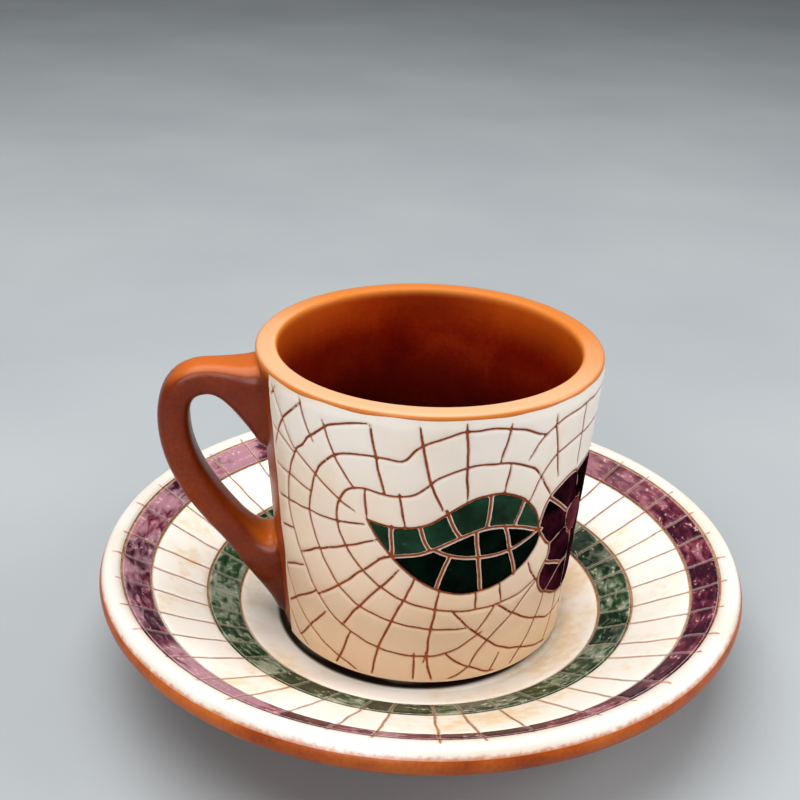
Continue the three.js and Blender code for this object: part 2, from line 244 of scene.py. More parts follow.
clay_thrown = red_clay("red_clay_thrown", THROWN_TONES, 0.18, 0.3)
# The handle: darker towards the bottom, and painted top light on its upward faces.
clay_pulled = red_clay(
    "red_clay_pulled", PULLED_TONES, 0.22, 0.1, pool_and_shade=(5.0 * MM, 37.0 * MM), thin_and_lit_tops=True
)
# The cup's outside: the foot near-black as painted shadow, the rim lighter with a painted highlight
# at the front.
clay_rim = red_clay(
    "red_clay_rim", WALL_TONES, 0.24, 0.0, rim=(64.6 * MM, 66.6 * MM), pool_and_shade=(8.6 * MM, 14.0 * MM)
)
# The inside: darker clay and darkening with depth as painted shade, partly pooled glaze, and a
# painted glow below the rim.
clay_inside = red_clay(
    "red_clay_inside", INSIDE_SHADE_TONES, 0.05, 0.08,
    rim=(65.8 * MM, 67.8 * MM), pool_and_shade=(31.0 * MM, 72.0 * MM), glow=(57.0 * MM, 69.0 * MM),
)
print("clay finishes", [m.name for m in (clay_thrown, clay_pulled, clay_rim, clay_inside)])

# %% [markdown]
# The scored lines show clay that the tool has dragged open. It is darker and rougher than the
# thrown clay. On the saucer slip has run into the lines, so they are paler there.

# %% Scored clay
SCORE_PALE = (0.330, 0.076, 0.020)


def scored_clay(name, dark, pale, gloss):
    clay = Finish(name)
    tone = clay.noise(900.0, 3.0)
    return clay.close(
        base_color=clay.ramp(tone, [(0.35, dark), (0.65, pale)]),
        roughness=0.40 + tone * 0.2,
        specular_ior_level=gloss,
        normal=clay.bump(tone, 0.08 * MM),
    )


clay_scored = scored_clay("scored_clay", (0.195, 0.036, 0.008), SCORE_PALE, 0.15)
ring_clay_scored = scored_clay("ring_scored_clay", (0.30, 0.125, 0.050), (0.52, 0.285, 0.140), 0.5)
print("scored finishes", clay_scored.name, ring_clay_scored.name)

# %% [markdown]
# ## White slip
# The slip is a warm white, whiter where it lies thick and tan where it is thin: in soft patches
# and right along each scored edge. Towards the foot of the cup the tan is painted shade and warm
# bounce light from the saucer. The attribute called edge holds a point's distance from the nearest
# score in millimetres, so the tint can follow the lines. A dark ring of painted shadow lies in the
# saucer's well under the cup's edge, a little off the middle.

# %% White slip
CUP_WHITES = (0.80, 0.735, 0.665), (0.77, 0.655, 0.535)
SAUCER_WHITES = (0.88, 0.830, 0.765), (0.85, 0.775, 0.675)
LIP_WHITES = (0.71, 0.660, 0.605), (0.68, 0.615, 0.545)
# A tan of painted shade and warm bounce light, low on the cup and around the shadow ring in the
# well.
SLIP_SHADE_TAN = (0.56, 0.320, 0.138)
SLIP_STAIN = (0.76, 0.55, 0.29)
# A dark ring of painted shadow in the well under the cup's edge, a little off the middle.
SEAT_SHADOW = (0.020, 0.010, 0.006)
SEAT_SHADOW_PLACE = (-1.1 * MM, -0.1 * MM, 0)
SEAT_RADIUS = 28.9 * MM
# Heights between which the cup's slip takes the painted shade; the second pair leaves it out.
CUP_LOW_SHADE = 62.0 * MM, 5.0 * MM
NO_LOW_SHADE = -60.0 * MM, -80.0 * MM


def white_slip(
    name, whites, tan, stain, rub=SCORE_PALE, share=0.4, width=0.22, grain=420.0, seat_shadow=False
):
    """White slip, tan below a height as painted shade, rubbed at its edges and, in the well,
    darkened by a painted shadow ring under the cup.
    """
    slip = Finish(name)
    cloud = slip.noise(55.0, 4.0, distortion=0.5)
    fleck = slip.noise(grain, 5.0)
    # Painted shade and bounce light: the cup's slip turns tan towards its foot.
    painted_low_shade = slip.step(slip.axis("Z") + (cloud - 0.5) * (26.0 * MM), *tan)
    ground = slip.mix(slip.step(cloud, 0.38, 0.66), *whites)
    ground = slip.mix(painted_low_shade * 0.8, ground, SLIP_SHADE_TAN)
    spots = slip.step(fleck * 0.4 + cloud * 0.6, 0.50, 0.68)
    ground = slip.mix(spots * stain, ground, SLIP_STAIN)
    rubbed_and_highlit = slip.step(slip.attribute("edge") + (fleck - 0.5) * (width * 1.4), width, 0.0)
    ground = slip.mix(rubbed_and_highlit * share, ground, rub)
    # Painted shadow: a dark ring in the well under the cup's edge, with a tan of painted shade
    # around it.
    if seat_shadow:
        flat = slip.node("VectorMath", {"operation": "MULTIPLY"}, {0: slip.place(), 1: (1, 1, 0)})
        away = {0: flat, 1: SEAT_SHADOW_PLACE}
        inward = SEAT_RADIUS - slip.node("VectorMath", {"operation": "DISTANCE"}, away, out="Value")
        under_cup_shadow = slip.step(inward, -0.4 * MM, 0.6 * MM)
        clean = slip.step(inward - (cloud - 0.5) * (5.0 * MM), 1.6 * MM, 4.4 * MM)
        ground = slip.mix(under_cup_shadow * 0.35, ground, SLIP_SHADE_TAN)
        ground = slip.mix(under_cup_shadow * (1.0 - clean), ground, SEAT_SHADOW)
    return slip.close(
        base_color=ground,
        roughness=0.24 + fleck * 0.16,
        coat_weight=0.20,
        coat_roughness=0.08,
        normal=slip.bump(cloud * 0.8 + fleck * 0.35, 0.14 * MM, 0.6),
    )


slip_cup = white_slip("white_slip_cup", CUP_WHITES, CUP_LOW_SHADE, 0.25)
slip_saucer = white_slip("white_slip_saucer", SAUCER_WHITES, NO_LOW_SHADE, 0.8)
# The well's slip carries the painted shadow ring under the cup.
slip_well = white_slip("white_slip_well", SAUCER_WHITES, NO_LOW_SHADE, 0.7, seat_shadow=True)
slip_lip = white_slip(
    "white_slip_lip", LIP_WHITES, NO_LOW_SHADE, 0.15,
    rub=THROWN_TONES[2], share=0.85, width=0.34, grain=950.0,
)
print("slip finishes", slip_cup.name, slip_saucer.name, slip_well.name, slip_lip.name)

# %% [markdown]
# ## Coloured glazes
# The leaf and the flower are filled thickly, so they are deep and glossy with only a slow change
# of tone, and scattered flecks of painted sheen lighten them. The two rings of the saucer are
# brushed on thinly: light streaks follow the brush round the ring and bare flecks of slip show
# through. A streak is a noise that is stretched along the turn, so it reads a turn-and-radius place
# made from the Object coordinates. The purple ring is more faded on the left and deep red at the
# front, so its fading leans across the saucer; the lean also paints shade on the ring's right side.


# %% Filled and brushed glazes
def filled_glaze(name, dark, light, sheen, gloss):
    glaze = Finish(name)
    pool_and_shade = glaze.noise(160.0, 3.0, distortion=0.6)
    fleck = glaze.noise(1100.0, 3.0)
    colour = glaze.ramp(pool_and_shade * 0.8 + fleck * 0.2, [(0.36, dark), (0.66, light)])
    # Painted sheen: scattered flecks mixed towards a lighter sheen colour, standing in for glints on
    # the glaze.
    sheen_flecks = glaze.step(fleck, 0.70, 0.78) * glaze.step(pool_and_shade, 0.5, 0.6)
    return glaze.close(
        base_color=glaze.mix(sheen_flecks * 0.5, colour, sheen),
        roughness=0.12 + fleck * 0.14,
        specular_ior_level=gloss,
        normal=glaze.bump(pool_and_shade, 0.16 * MM, 0.6),
    )


def brushed_glaze(name, dark, middle, light, pale, bare, fade, lean):
    glaze = Finish(name)
    across, along = map(glaze.axis, "XY")
    turn = glaze.node("Math", {"operation": "ARCTAN2"}, {0: across, 1: 0.0 - along})
    radius = glaze.node("VectorMath", {"operation": "LENGTH"}, {0: glaze.place()}, out="Value")
    ring = glaze.node("CombineXYZ", {}, {"X": turn * 0.022, "Y": radius, "Z": 0.0})
    streak = glaze.noise(620.0, 5.0, ring, 0.8)
    patch = glaze.noise(140.0, 4.0, distortion=0.8)
    fleck = glaze.noise(1300.0, 4.0)
    tone = streak * 0.5 + patch * 0.4 + glaze.attribute("tile") * 0.09 + 0.02
    colour = glaze.ramp(tone, [(0.40, dark), (0.49, middle), (0.59, light)])
    gap = glaze.step(streak * 0.5 + fleck * 0.5, 0.57, 0.66)
    rubbed_and_highlit = glaze.step(glaze.attribute("edge") + (fleck - 0.5) * 0.4, 0.25, 0.0)
    # The fading leans across the saucer: paler on the left where the glaze is faded, darker on the
    # right as painted shade.
    faded_and_shaded_side = (across - along * 0.4) * lean
    faded = glaze.step(glaze.noise(75.0, 3.0) * 0.7 + streak * 0.3 - faded_and_shaded_side, 0.50, 0.62)
    colour = glaze.mix(faded * fade, colour, pale)
    colour = glaze.mix(gap * 0.7, colour, bare)
    return glaze.close(
        base_color=glaze.mix(rubbed_and_highlit * 0.45, colour, bare),
        roughness=0.14 + fleck * 0.16,
        specular_ior_level=0.15,
        normal=glaze.bump(streak + fleck * 0.4, 0.12 * MM, 0.6),
    )


leaf_green = filled_glaze(
    "leaf_green_glaze", (0.003, 0.015, 0.007), (0.012, 0.048, 0.024), (0.20, 0.22, 0.17), 0.05
)
leaf_deep = filled_glaze(
    "leaf_deep_glaze", (0.0005, 0.0015, 0.001), (0.002, 0.007, 0.004), (0.05, 0.06, 0.05), 0.0
)
petal_dark = filled_glaze(
    "petal_glaze", (0.002, 0.0008, 0.001), (0.045, 0.006, 0.015), (0.20, 0.10, 0.13), 0.0
)
heart_wine = filled_glaze(
    "heart_glaze", (0.050, 0.006, 0.013), (0.150, 0.034, 0.048), (0.26, 0.14, 0.16), 0.0
)
ring_green = brushed_glaze(
    "ring_green_glaze", (0.003, 0.016, 0.005), (0.023, 0.060, 0.022), (0.24, 0.27, 0.19),
    (0.30, 0.32, 0.24), (0.56, 0.53, 0.42), 0.35, 0.0
)
ring_purple = brushed_glaze(
    "ring_purple_glaze", (0.030, 0.003, 0.012), (0.120, 0.016, 0.036), (0.27, 0.090, 0.115),
    (0.41, 0.215, 0.260), (0.60, 0.45, 0.43), 0.74, 2.0
)
glazes = leaf_green, leaf_deep, petal_dark, heart_wine, ring_green, ring_purple
print("glazes", [m.name for m in glazes])

# %% [markdown]
# ## Sizes and the wall
# The sizes repeat the part's own values in millimetres. The cup's wall is a cone, so a point on it
# is named by a turn from the front in degrees and a height. Lines are drawn on the unrolled wall,
# where a degree is as long as it is at the height of the leaf.

# %% Sizes
CUP_SEAT = 7.45
CUP_TOP = 67.85
WALL_LOW = 8.75
BASE_RADIUS = 28.9
RIM_RADIUS = 33.4
SLIP_LOW = 9.35
LEAF_TURN, LEAF_MIDDLE = 5.0, 40.65
LEAF_HALF_LENGTH, LEAF_HALF_DEPTH = 16.5, 10.6
FLOWER_MIDDLE = 36.95
FLOWER_RADIUS = 13.6


def wall_radius(height):
    return BASE_RADIUS + (RIM_RADIUS - BASE_RADIUS) * (height - WALL_LOW) / (CUP_TOP - WALL_LOW)


DEGREE = math.radians(wall_radius(LEAF_MIDDLE))


def turn_of(width):
    return math.degrees(math.asin(width / wall_radius(LEAF_MIDDLE)))


FLOWER_TURN = LEAF_TURN + turn_of(LEAF_HALF_LENGTH) + turn_of(FLOWER_RADIUS) - turn_of(1.2)


def on_wall(points):
    """Puts turns and heights and lifts of the unrolled wall in their place on the cup, in metres."""
    around, height, lift = np.asarray(points).T
    turn = np.radians(around / DEGREE)
    radius = wall_radius(height) + lift
    return np.column_stack([radius * np.sin(turn), -radius * np.cos(turn), height]) * MM


print("flower at", round(FLOWER_TURN, 1), "degrees; a degree is", round(DEGREE, 3), "mm")

# %% [markdown]
# ## From a profile to a thrown form
# A thrown pot is a profile turned round an axis. The profile is drawn with a few straight runs and
# soft corners, and bmesh's spin turns it. Its ends meet the axis or its own start, so merging
# doubles closes the form, and the normals are recalculated after that.

# %% Profiles and pieces
SHARP = math.radians(42)


def lengths_along(line):
    """How far along a line each of its points lies."""
    return np.concatenate([[0], np.cumsum(np.linalg.norm(np.diff(line, axis=0), axis=1))])


def unit(vectors):
    return vectors / np.linalg.norm(vectors, axis=1)[:, None]


def soft_corner(before, corner, after, steps=8):
    """A rounded corner: a quadratic curve from one point to another, pulled by the corner."""
    t = np.linspace(0, 1, steps + 1)[:, None]
    before, corner, after = map(np.array, (before, corner, after))
    return [tuple(p) for p in (1 - t) ** 2 * before + 2 * t * (1 - t) * corner + t**2 * after]


def arc(middle, radius, start, stop, steps=12):
    turns = np.radians(np.linspace(start, stop, steps + 1))
    return [(middle[0] + radius * math.cos(a), middle[1] + radius * math.sin(a)) for a in turns]


def finish_piece(mesh, name, body, nodes, slot, *materials):
    """Makes an object of a bmesh, smooths it and ties it to the frame."""
    data = bpy.data.meshes.new(name)
    mesh.to_mesh(data)
    mesh.free()
    piece = bpy.data.objects.new(name, data)
    bpy.context.collection.objects.link(piece)
    for material in materials:
        data.materials.append(material)
    data.shade_smooth()
    data.set_sharp_from_angle(angle=SHARP)
    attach(piece, body)
    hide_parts(*nodes)
    print(name, len(data.polygons), "faces")
    return piece


def throw(profile, steps):
    """Turns a profile of radius and height, in millimetres, round Z."""
    clay = bmesh.new()
    ring = [clay.verts.new((r * MM, 0, z * MM)) for r, z in profile]
    edges = [clay.edges.new(pair) for pair in zip(ring, ring[1:])]
    turn = {"cent": (0, 0, 0), "axis": (0, 0, 1), "angle": math.tau, "steps": steps}
    bmesh.ops.spin(clay, geom=ring + edges, use_merge=True, **turn)
    bmesh.ops.remove_doubles(clay, verts=clay.verts, dist=1e-6)
    bmesh.ops.recalc_face_normals(clay, faces=clay.faces)
    return clay


print("profiles turn into forms with", throw.__name__)

# %% [markdown]
# ## The cup's body
# One profile runs from the foot's recess up the outside, over the flat, softly rounded rim and
# down the inside to the floor. The wall is 4 mm thick all the way, as the rim shows, and the bare
# rim stands out by the thickness of the thin slip that stops below it.

# %% Throw the cup
WALL = 4.0
RIM_ROUND = 1.2
RIM_PROUD = 0.25
COAT_TOP = 66.8
FLOOR = WALL_LOW + 4.6
FLOOR_ROUND = 7
FOOT = 26.5
CUP_STEPS = 144
rim_low = CUP_TOP - RIM_ROUND
inner_low = wall_radius(FLOOR) - WALL
cup_profile = [(0, CUP_SEAT + 1.0), (FOOT - 5.0, CUP_SEAT + 1.0), (FOOT - 4.4, CUP_SEAT + 0.7)]
cup_profile += [(FOOT - 3.4, CUP_SEAT + 0.1), (FOOT - 2.8, CUP_SEAT), (FOOT - 0.3, CUP_SEAT)]
cup_profile += [(FOOT, CUP_SEAT + 0.25), (FOOT, WALL_LOW - 0.35)]
foot_top = WALL_LOW - 0.2
slip_start = (wall_radius(SLIP_LOW), SLIP_LOW)
cup_profile += soft_corner((FOOT + 0.2, foot_top), (BASE_RADIUS, foot_top), slip_start)
cup_profile += [(wall_radius(z), z) for z in np.linspace(SLIP_LOW + 3, COAT_TOP - 1.5, 10)]
cup_profile += [(wall_radius(COAT_TOP - 0.7), COAT_TOP - 0.7)]
cup_profile += [(wall_radius(COAT_TOP) + RIM_PROUD * 0.9, COAT_TOP - 0.1)]
rim_side = (wall_radius(rim_low) + RIM_PROUD, rim_low + 0.2)
rim_out, rim_in = RIM_RADIUS + RIM_PROUD, RIM_RADIUS - WALL
inner_side = (wall_radius(rim_low) - WALL, rim_low)
cup_profile += soft_corner(rim_side, (rim_out, CUP_TOP - 0.1), (RIM_RADIUS - RIM_ROUND, CUP_TOP))
cup_profile += soft_corner((rim_in + RIM_ROUND, CUP_TOP), (rim_in, CUP_TOP), inner_side)
cup_profile += [(wall_radius(z) - WALL, z) for z in np.linspace(rim_low - 3, FLOOR + 9, 10)]
floor_side = (wall_radius(FLOOR + FLOOR_ROUND) - WALL, FLOOR + FLOOR_ROUND)
cup_profile += soft_corner(floor_side, (inner_low, FLOOR), (inner_low - FLOOR_ROUND, FLOOR), 12)
cup_profile += [(r, FLOOR) for r in (14, 10, 6, 3, 0)]
cup = throw(cup_profile, CUP_STEPS)
for f in cup.faces:
    middle = f.calc_center_median()
    faces_in = middle.z > (FLOOR - 0.1) * MM and f.normal.xy.dot(middle.xy) < 0
    if faces_in or abs(middle.z - FLOOR * MM) < 1e-5:
        f.material_index = 1
finish_piece(cup, "cup_body_thrown", "cup", ["cup_body"], "red_clay", clay_rim, clay_inside)

# %% [markdown]
# ## Drawing the scored lines
# The potter draws long rows round the leaf and then crosses them freehand, so the tiles are uneven
# and many strokes run past each other. Each stroke is a few points, turn and height, and a smooth
# curve runs through them with a slight tremble.

# %% Strokes on the front
ROWS = [
    [(32.5, 52.5), (28, 55), (22, 56.8), (15, 57.6), (9, 57.7), (4, 57.2), (-2, 55.8), (-7, 53.5),
     (-11, 51.7), (-18, 51.2), (-26, 51.7), (-31, 51.3), (-34.5, 49.6), (-36.7, 46.5),
     (-37, 43.5), (-35.5, 40.4), (-32, 36.8), (-27.5, 33.7), (-21.5, 31), (-14, 28.6), (-7, 27.3),
     (2, 26.3), (12, 26), (20, 26.3), (29, 27), (37.5, 29)],
    [(32.5, 61.2), (26, 62.7), (19, 64.2), (11, 64.8), (4, 64.6), (-3, 63.3), (-9, 61.8),
     (-12.5, 59.6), (-15, 58.4), (-21, 58.7), (-28, 58.7), (-34, 58), (-39, 56.2), (-43, 53.7),
     (-46.2, 49.8), (-48.2, 45.5), (-48.3, 41), (-45.3, 36), (-41, 31.6), (-36.5, 28.3),
     (-30, 25.7), (-22, 24), (-13, 22.8), (-3, 22.1), (9.5, 21.8)],
    [(-25.5, 65.1), (-32, 64.3), (-39, 62.7), (-45, 60), (-50, 57), (-54.5, 54), (-58, 49.5),
     (-60.2, 44), (-60, 39.5), (-57, 34.5), (-53, 29.8), (-47, 24.6), (-41, 21.3), (-35, 19.4),
     (-28, 17.6), (-20, 16.2), (-10, 15.6), (0, 15.9), (7, 17.2), (15.5, 20.3)],
    [(-49.5, 65.3), (-55, 62.6), (-60, 59.5), (-64.5, 55.5), (-68, 50.5), (-70.4, 45),
     (-71.2, 39), (-70.6, 33.5), (-68, 27.8), (-64, 22.6), (-59, 18.6), (-52, 15.3), (-44, 12.8),
     (-36, 11), (-28, 9.2)],
    [(-63.5, 65.4), (-69, 61.8), (-75, 58.6), (-80, 57)],
    [(-79, 24.5), (-74, 20.2), (-68, 15.6), (-61, 11.8), (-54, 9.2)],
]
CROSSINGS = [
    [(-66, 65.3), (-60.5, 60.4), (-55.5, 55.6), (-44.5, 51.4), (-36, 48.2), (-30, 46.4)],
    [(-77, 58), (-70, 57.3), (-62, 56), (-54.5, 54)],
    [(-41.3, 63.4), (-37, 57), (-30.3, 51.2)],
    [(-50.2, 66), (-48, 61.5), (-45, 58.2)],
    [(-24.6, 65), (-22.6, 57.5), (-19.8, 51.1)],
    [(-10, 65.6), (-8.4, 60.8), (-6, 54.8), (-2, 48.6)],
    [(-15.6, 51.8), (-13.4, 45)],
    [(-26.7, 51.8), (-26.2, 45.6)],
    [(-80, 48.4), (-70, 49), (-60, 48.7), (-47.2, 47.5)],
    [(-80, 40.6), (-71, 41.9), (-60, 42.6), (-48, 43.1), (-37, 43.3), (-27, 44.2)],
    [(-80, 32.2), (-70, 34.8), (-58.5, 36.7)],
    [(-55.5, 32.2), (-45, 35.5), (-33, 38.6), (-23, 41.3)],
    [(-80, 22), (-67, 26.2), (-54, 29.5)],
    [(-80, 12.2), (-64, 18.6), (-47.8, 25.2)],
    [(-60.5, 11), (-52, 16), (-44, 21)],
    [(-47.5, 24.2), (-37, 29), (-28, 33.8), (-20, 38)],
    [(-40.5, 9.2), (-36.5, 14), (-33, 18.9)],
    [(-37, 19.6), (-29, 25.6), (-21, 31.2), (-15, 35.4)],
    [(-25.2, 9.2), (-22.4, 16.6), (-17, 24), (-13.2, 28.8), (-10, 33.6)],
    [(-8.9, 16.4), (-9, 9.2)],
    [(-5.2, 16.6), (-3.4, 12.5), (-2, 9.2)],
    [(-5.8, 14), (-4.4, 17), (-3.4, 22.4), (-2.4, 27.2), (-1.2, 31.4)],
    [(4, 66), (5, 57.4), (6, 50.5)],
    [(18.2, 65.4), (17, 61.5), (15.7, 57.6)],
    [(19.5, 57.2), (18.2, 51)],
    [(35, 64.8), (36.8, 60.2), (38.8, 55.6), (40.6, 51)],
    [(32.5, 52.6), (35, 50), (38.3, 47.4)],
    [(52, 63.6), (52.3, 57.2), (53, 50.6)],
    [(31.6, 33.9), (34, 31.2), (37.6, 28.5)],
    [(20.4, 31.3), (22, 26.5)],
    [(11.3, 30.4), (12.2, 25.9)],
    [(19.6, 26.2), (16.5, 23.2), (13, 20.3)],
    [(3.4, 26.4), (9, 22.6), (14.5, 19.6), (18, 18), (24.5, 15.2), (34.5, 13), (45, 11), (55, 9.4)],
    [(37.6, 28.2), (32, 25.4), (25, 21.4), (17.8, 18), (14, 15), (12, 12.4)],
    [(2, 16.2), (7, 13.8), (12, 12.2), (18, 10.5), (25, 9.3)],
    [(0, 9.2), (6, 10.2), (12, 12.3)],
    [(24, 13.9), (22, 11.5), (20, 9.2)],
    [(44, 23.9), (41, 18.8), (35, 13.2), (29, 9.4)],
    [(55, 22), (54.2, 16), (52, 12.2), (49, 9.2)],
]
print(len(ROWS), "rows and", len(CROSSINGS), "crossings on the front")

# %% [markdown]
# The back of the cup isn't in the picture. Rows there go on as rings round the flower, and rays
# cross them; where two rays have run too far apart, a new one starts between them, as a potter
# would fill in. The ray's parts are shifted a little so that the joints don't line up. Both sources
# of chance get a fixed seed, because the vector noise of a fresh Blender is seeded by the clock.

# %% Strokes round the back
rng = np.random.default_rng(8)
noise.seed_set(8)
ROW_PITCH = 6.4
FIRST_RING = 20.6
BACK_ROWS = 17
TILE_WIDEST = 10.0


def round_flower(radius, degrees):
    a = math.radians(degrees)
    return (FLOWER_TURN + radius * math.cos(a) / DEGREE, FLOWER_MIDDLE + radius * math.sin(a))


ROWS.append([(28.6, 47.8), (32, 52.2), (35.5, 55), (41, 56.6), (48, 57.4)]
            + [round_flower(FIRST_RING, a) for a in range(84, -96, -12)]
            + [(50, 16.5), (42, 18.4), (35, 20.2), (27, 23.2), (20, 26.4)])
ROWS.append([(25.8, 57), (30, 60.4), (36, 62.6), (45, 63.7)]
            + [round_flower(FIRST_RING + ROW_PITCH, a) for a in range(80, -81, -10)])
for k in range(2, BACK_ROWS):
    radius = FIRST_RING + ROW_PITCH * k
    reach = min(66.0, math.degrees(math.asin(min(1.0, 31.0 / radius))) + 4)
    wave = rng.normal(0, 0.5, 12)
    turns = np.linspace(reach, -reach, 12)
    ROWS.append([round_flower(radius + w, a) for w, a in zip(wave, turns)])

rays = [(a + rng.uniform(-3, 3), 0) for a in range(-82, 83, 18)]
for k in range(BACK_ROWS):
    radius = FIRST_RING + ROW_PITCH * k
    turns = sorted(a for a, _ in rays)
    for a, b in zip(turns, turns[1:]):
        if math.radians(b - a) * radius > TILE_WIDEST:
            rays.append(((a + b) / 2 + rng.uniform(-0.08, 0.08) * (b - a), k))
for turn, first in rays:
    k = first
    while k < BACK_ROWS:
        rows = int(rng.integers(1, 4))
        start = FIRST_RING + ROW_PITCH * k - rng.uniform(0.2, 1.4)
        stop = FIRST_RING + ROW_PITCH * (k + rows) + rng.uniform(0.2, 1.4)
        slip_by = math.degrees(rng.uniform(-1.0, 1.0) / start)
        if k == 0:
            start = FLOWER_RADIUS + 1.0
        radii = np.linspace(start, stop, rows * 2 + 1)
        CROSSINGS.append([round_flower(r, turn + slip_by) for r in radii])
        k += rows
print(len(ROWS), "rows and", len(CROSSINGS), "crossings in all")

# %% [markdown]
# ## Leaf and flower outlines
# The leaf has a dipped back, a high shoulder and a deep belly, drawn as five Bezier spans, with a
# midrib, a second vein and short veins across. The flower is five petals of two cells each round a
# heart, and neighbours share their lines, so its lines are listed once and joined to outlines.


# %% Leaf and flower lines
def bezier(a, b, c, d, steps=14):
    t = np.linspace(0, 1, steps, endpoint=False)[:, None]
    a, b, c, d = map(np.array, (a, b, c, d))
    return (1 - t) ** 3 * a + 3 * t * (1 - t) ** 2 * b + 3 * t**2 * (1 - t) * c + t**3 * d


def wrapped(points, turn, middle):
    """Flat widths and heights in millimetres become turns in degrees and heights on the wall."""
    run = []
    for x, y in points:
        lean = math.asin(x / (wall_radius(middle + y) + 0.5))
        run.append((turn + math.degrees(lean), middle + y))
    return run


leaf_flat = np.vstack([
    bezier((-1, 0.44), (-0.8, 0.34), (-0.59, 0.34), (-0.4, 0.45)),
    bezier((-0.4, 0.45), (-0.22, 0.58), (0, 1), (0.31, 1)),
    bezier((0.31, 1), (0.69, 1), (0.94, 0.45), (0.95, 0.02)),
    bezier((0.95, 0.02), (1.06, -0.45), (0.6, -1), (0.12, -1)),
    bezier((0.12, -1), (-0.37, -1), (-0.8, -0.28), (-1, 0.44)),
]) * (LEAF_HALF_LENGTH, LEAF_HALF_DEPTH)
leaf_outline = wrapped(leaf_flat, LEAF_TURN, LEAF_MIDDLE)
leaf_midrib = [(-22, 37.2), (-17.5, 38.2), (-10, 39.1), (-4, 40.3), (3, 42.3), (9, 43.7),
               (14, 44.2), (20, 43.9), (26, 42.8), (31, 41.6), (36, 40.4)]
LEAF_VEINS = [
    [(-4, 40.3), (1.5, 38.9), (8, 38.2), (15, 37.9), (22, 38.3), (28, 39.2), (34.5, 40.8)],
    [(-17.9, 44.9), (-17.6, 38.3)],
    [(-8.6, 45.2), (-7.4, 42.4), (-5.4, 40.1)],
    [(-0.6, 48.7), (1.6, 45.6), (4.6, 42.8)],
    [(13.6, 51.2), (13.6, 47.5), (13, 44.3)],
    [(26.3, 48.8), (25, 46.2), (23.4, 43.6)],
    [(9.6, 43.8), (11, 38.2)],
    [(20, 44), (22.8, 38.4)],
    [(1.4, 39), (-0.6, 35.6), (-2.4, 31.6)],
    [(11, 38.2), (12, 34.4), (13, 30.6)],
    [(22.8, 38.4), (24.6, 35.4), (26.2, 32.2)],
]
HEART_RIM = [(57.9, 41.9), (53.5, 41.6), (51.6, 40.7), (51.3, 39.2), (52.3, 37.2), (54.8, 35.4),
             (58.2, 34.0), (62.4, 34.2), (65.4, 36.2), (66.0, 39.0), (63.2, 41.2)]
TOP_LINE = [(54.7, 49.1), (56.3, 46.0), (57.9, 41.9)]
LEAF_LINE = [(42.0, 35.8), (46.6, 36.7), (52.3, 37.2)]
LOW_LINE = [(43.9, 24.2), (48.6, 26.3), (53.2, 28.0), (59.6, 28.4), (60.4, 31.2), (59.4, 34.0)]
RIGHT_LOW_LINE = [(78.4, 25.4), (72.0, 30.2), (64.6, 35.2)]
RIGHT_HIGH_LINE = [(78.6, 45.0), (72.4, 42.8), (65.2, 40.2)]
petal_outlines = [
    LEAF_LINE + [(54.8, 35.4), (58.2, 34.0)] + LOW_LINE[::-1][1:]
    + [(41.3, 25.1), (39.2, 26.9), (38.5, 28.9), (39.6, 30.4), (41.6, 31.9), (42.6, 33.4)],
    LOW_LINE + [(62.4, 34.2), (64.6, 35.2)] + RIGHT_LOW_LINE[::-1][1:]
    + [(73.0, 22.2), (66.8, 20.6), (59.8, 20.5), (51.6, 21.8)],
    RIGHT_LOW_LINE + [(66.2, 37.4), (65.2, 40.2)] + RIGHT_HIGH_LINE[::-1][1:]
    + [(82.4, 41.0), (84.2, 36.0), (83.0, 30.2)],
    RIGHT_HIGH_LINE + [(63.2, 41.2), (57.9, 41.9)] + TOP_LINE[::-1][1:]
    + [(60.5, 49.7), (67.0, 49.4), (73.4, 48.0)],
    TOP_LINE + [(53.5, 41.6), (51.6, 40.7), (51.3, 39.2), (52.3, 37.2)] + LEAF_LINE[::-1][1:]
    + [(38.8, 37.4), (34.7, 40.5), (34.9, 42.4), (35.9, 44.7), (37.9, 46.9), (41.1, 48.2),
       (46.7, 49.3), (50.8, 49.6)],
]
FLOWER_VEINS = [
    [(37.9, 46.9), (42.9, 44.7), (51.6, 40.7)],
    [(41.4, 31.8), (47.0, 30.3), (53.0, 28.6), (57.6, 28.2)],
    [(60.0, 28.4), (60.8, 24.4), (60.2, 20.5)],
    [(66.2, 37.6), (75.0, 36.4), (84.0, 35.6)],
    [(62.0, 41.5), (65.0, 45.4), (66.8, 49.4)],
]
print("leaf outline", len(leaf_outline), "points; petals", len(petal_outlines))

# %% [markdown]
# ## How far from a line
# To cut along a line, each point of a fine sheet has to know how far it is from the nearest one.
# The distance to every short step of a stroke, less half the stroke's width, is a level: below
# zero is groove, above zero is tile. A stroke gets thinner at its ends, as a lifted tool leaves it.

# %% Levels
LINE_STEP = 0.7
SPAN = 8
NEAR, FAR = 2.0, 9.0
TAPER = 2.0
SCORE_HALF, OUTLINE_HALF, VEIN_HALF = 0.22, 0.27, 0.25


def drawn(points, tremble, scale=(DEGREE, 1.0)):
    """A smooth line through a few points in short steps, with a slight tremble of the hand."""
    knots = np.array(points, float) * scale
    knots = np.vstack([2 * knots[0] - knots[1], knots, 2 * knots[-1] - knots[-2]])
    run = []
    for a, b, c, d in zip(knots, knots[1:], knots[2:], knots[3:]):
        steps = max(2, int(np.linalg.norm(c - b) / LINE_STEP))
        t = np.linspace(0, 1, steps, endpoint=False)[:, None]
        bend = 2 * a - 5 * b + 4 * c - d + t * (3 * (b - c) + d - a)
        run.append(b + 0.5 * t * (c - a + t * bend))
    line = np.vstack([*run, knots[-2:-1]])
    shake = [noise.noise_vector((x * 0.35, y * 0.35, 5.0)) for x, y in line]
    return line + np.array(shake)[:, :2] * tremble


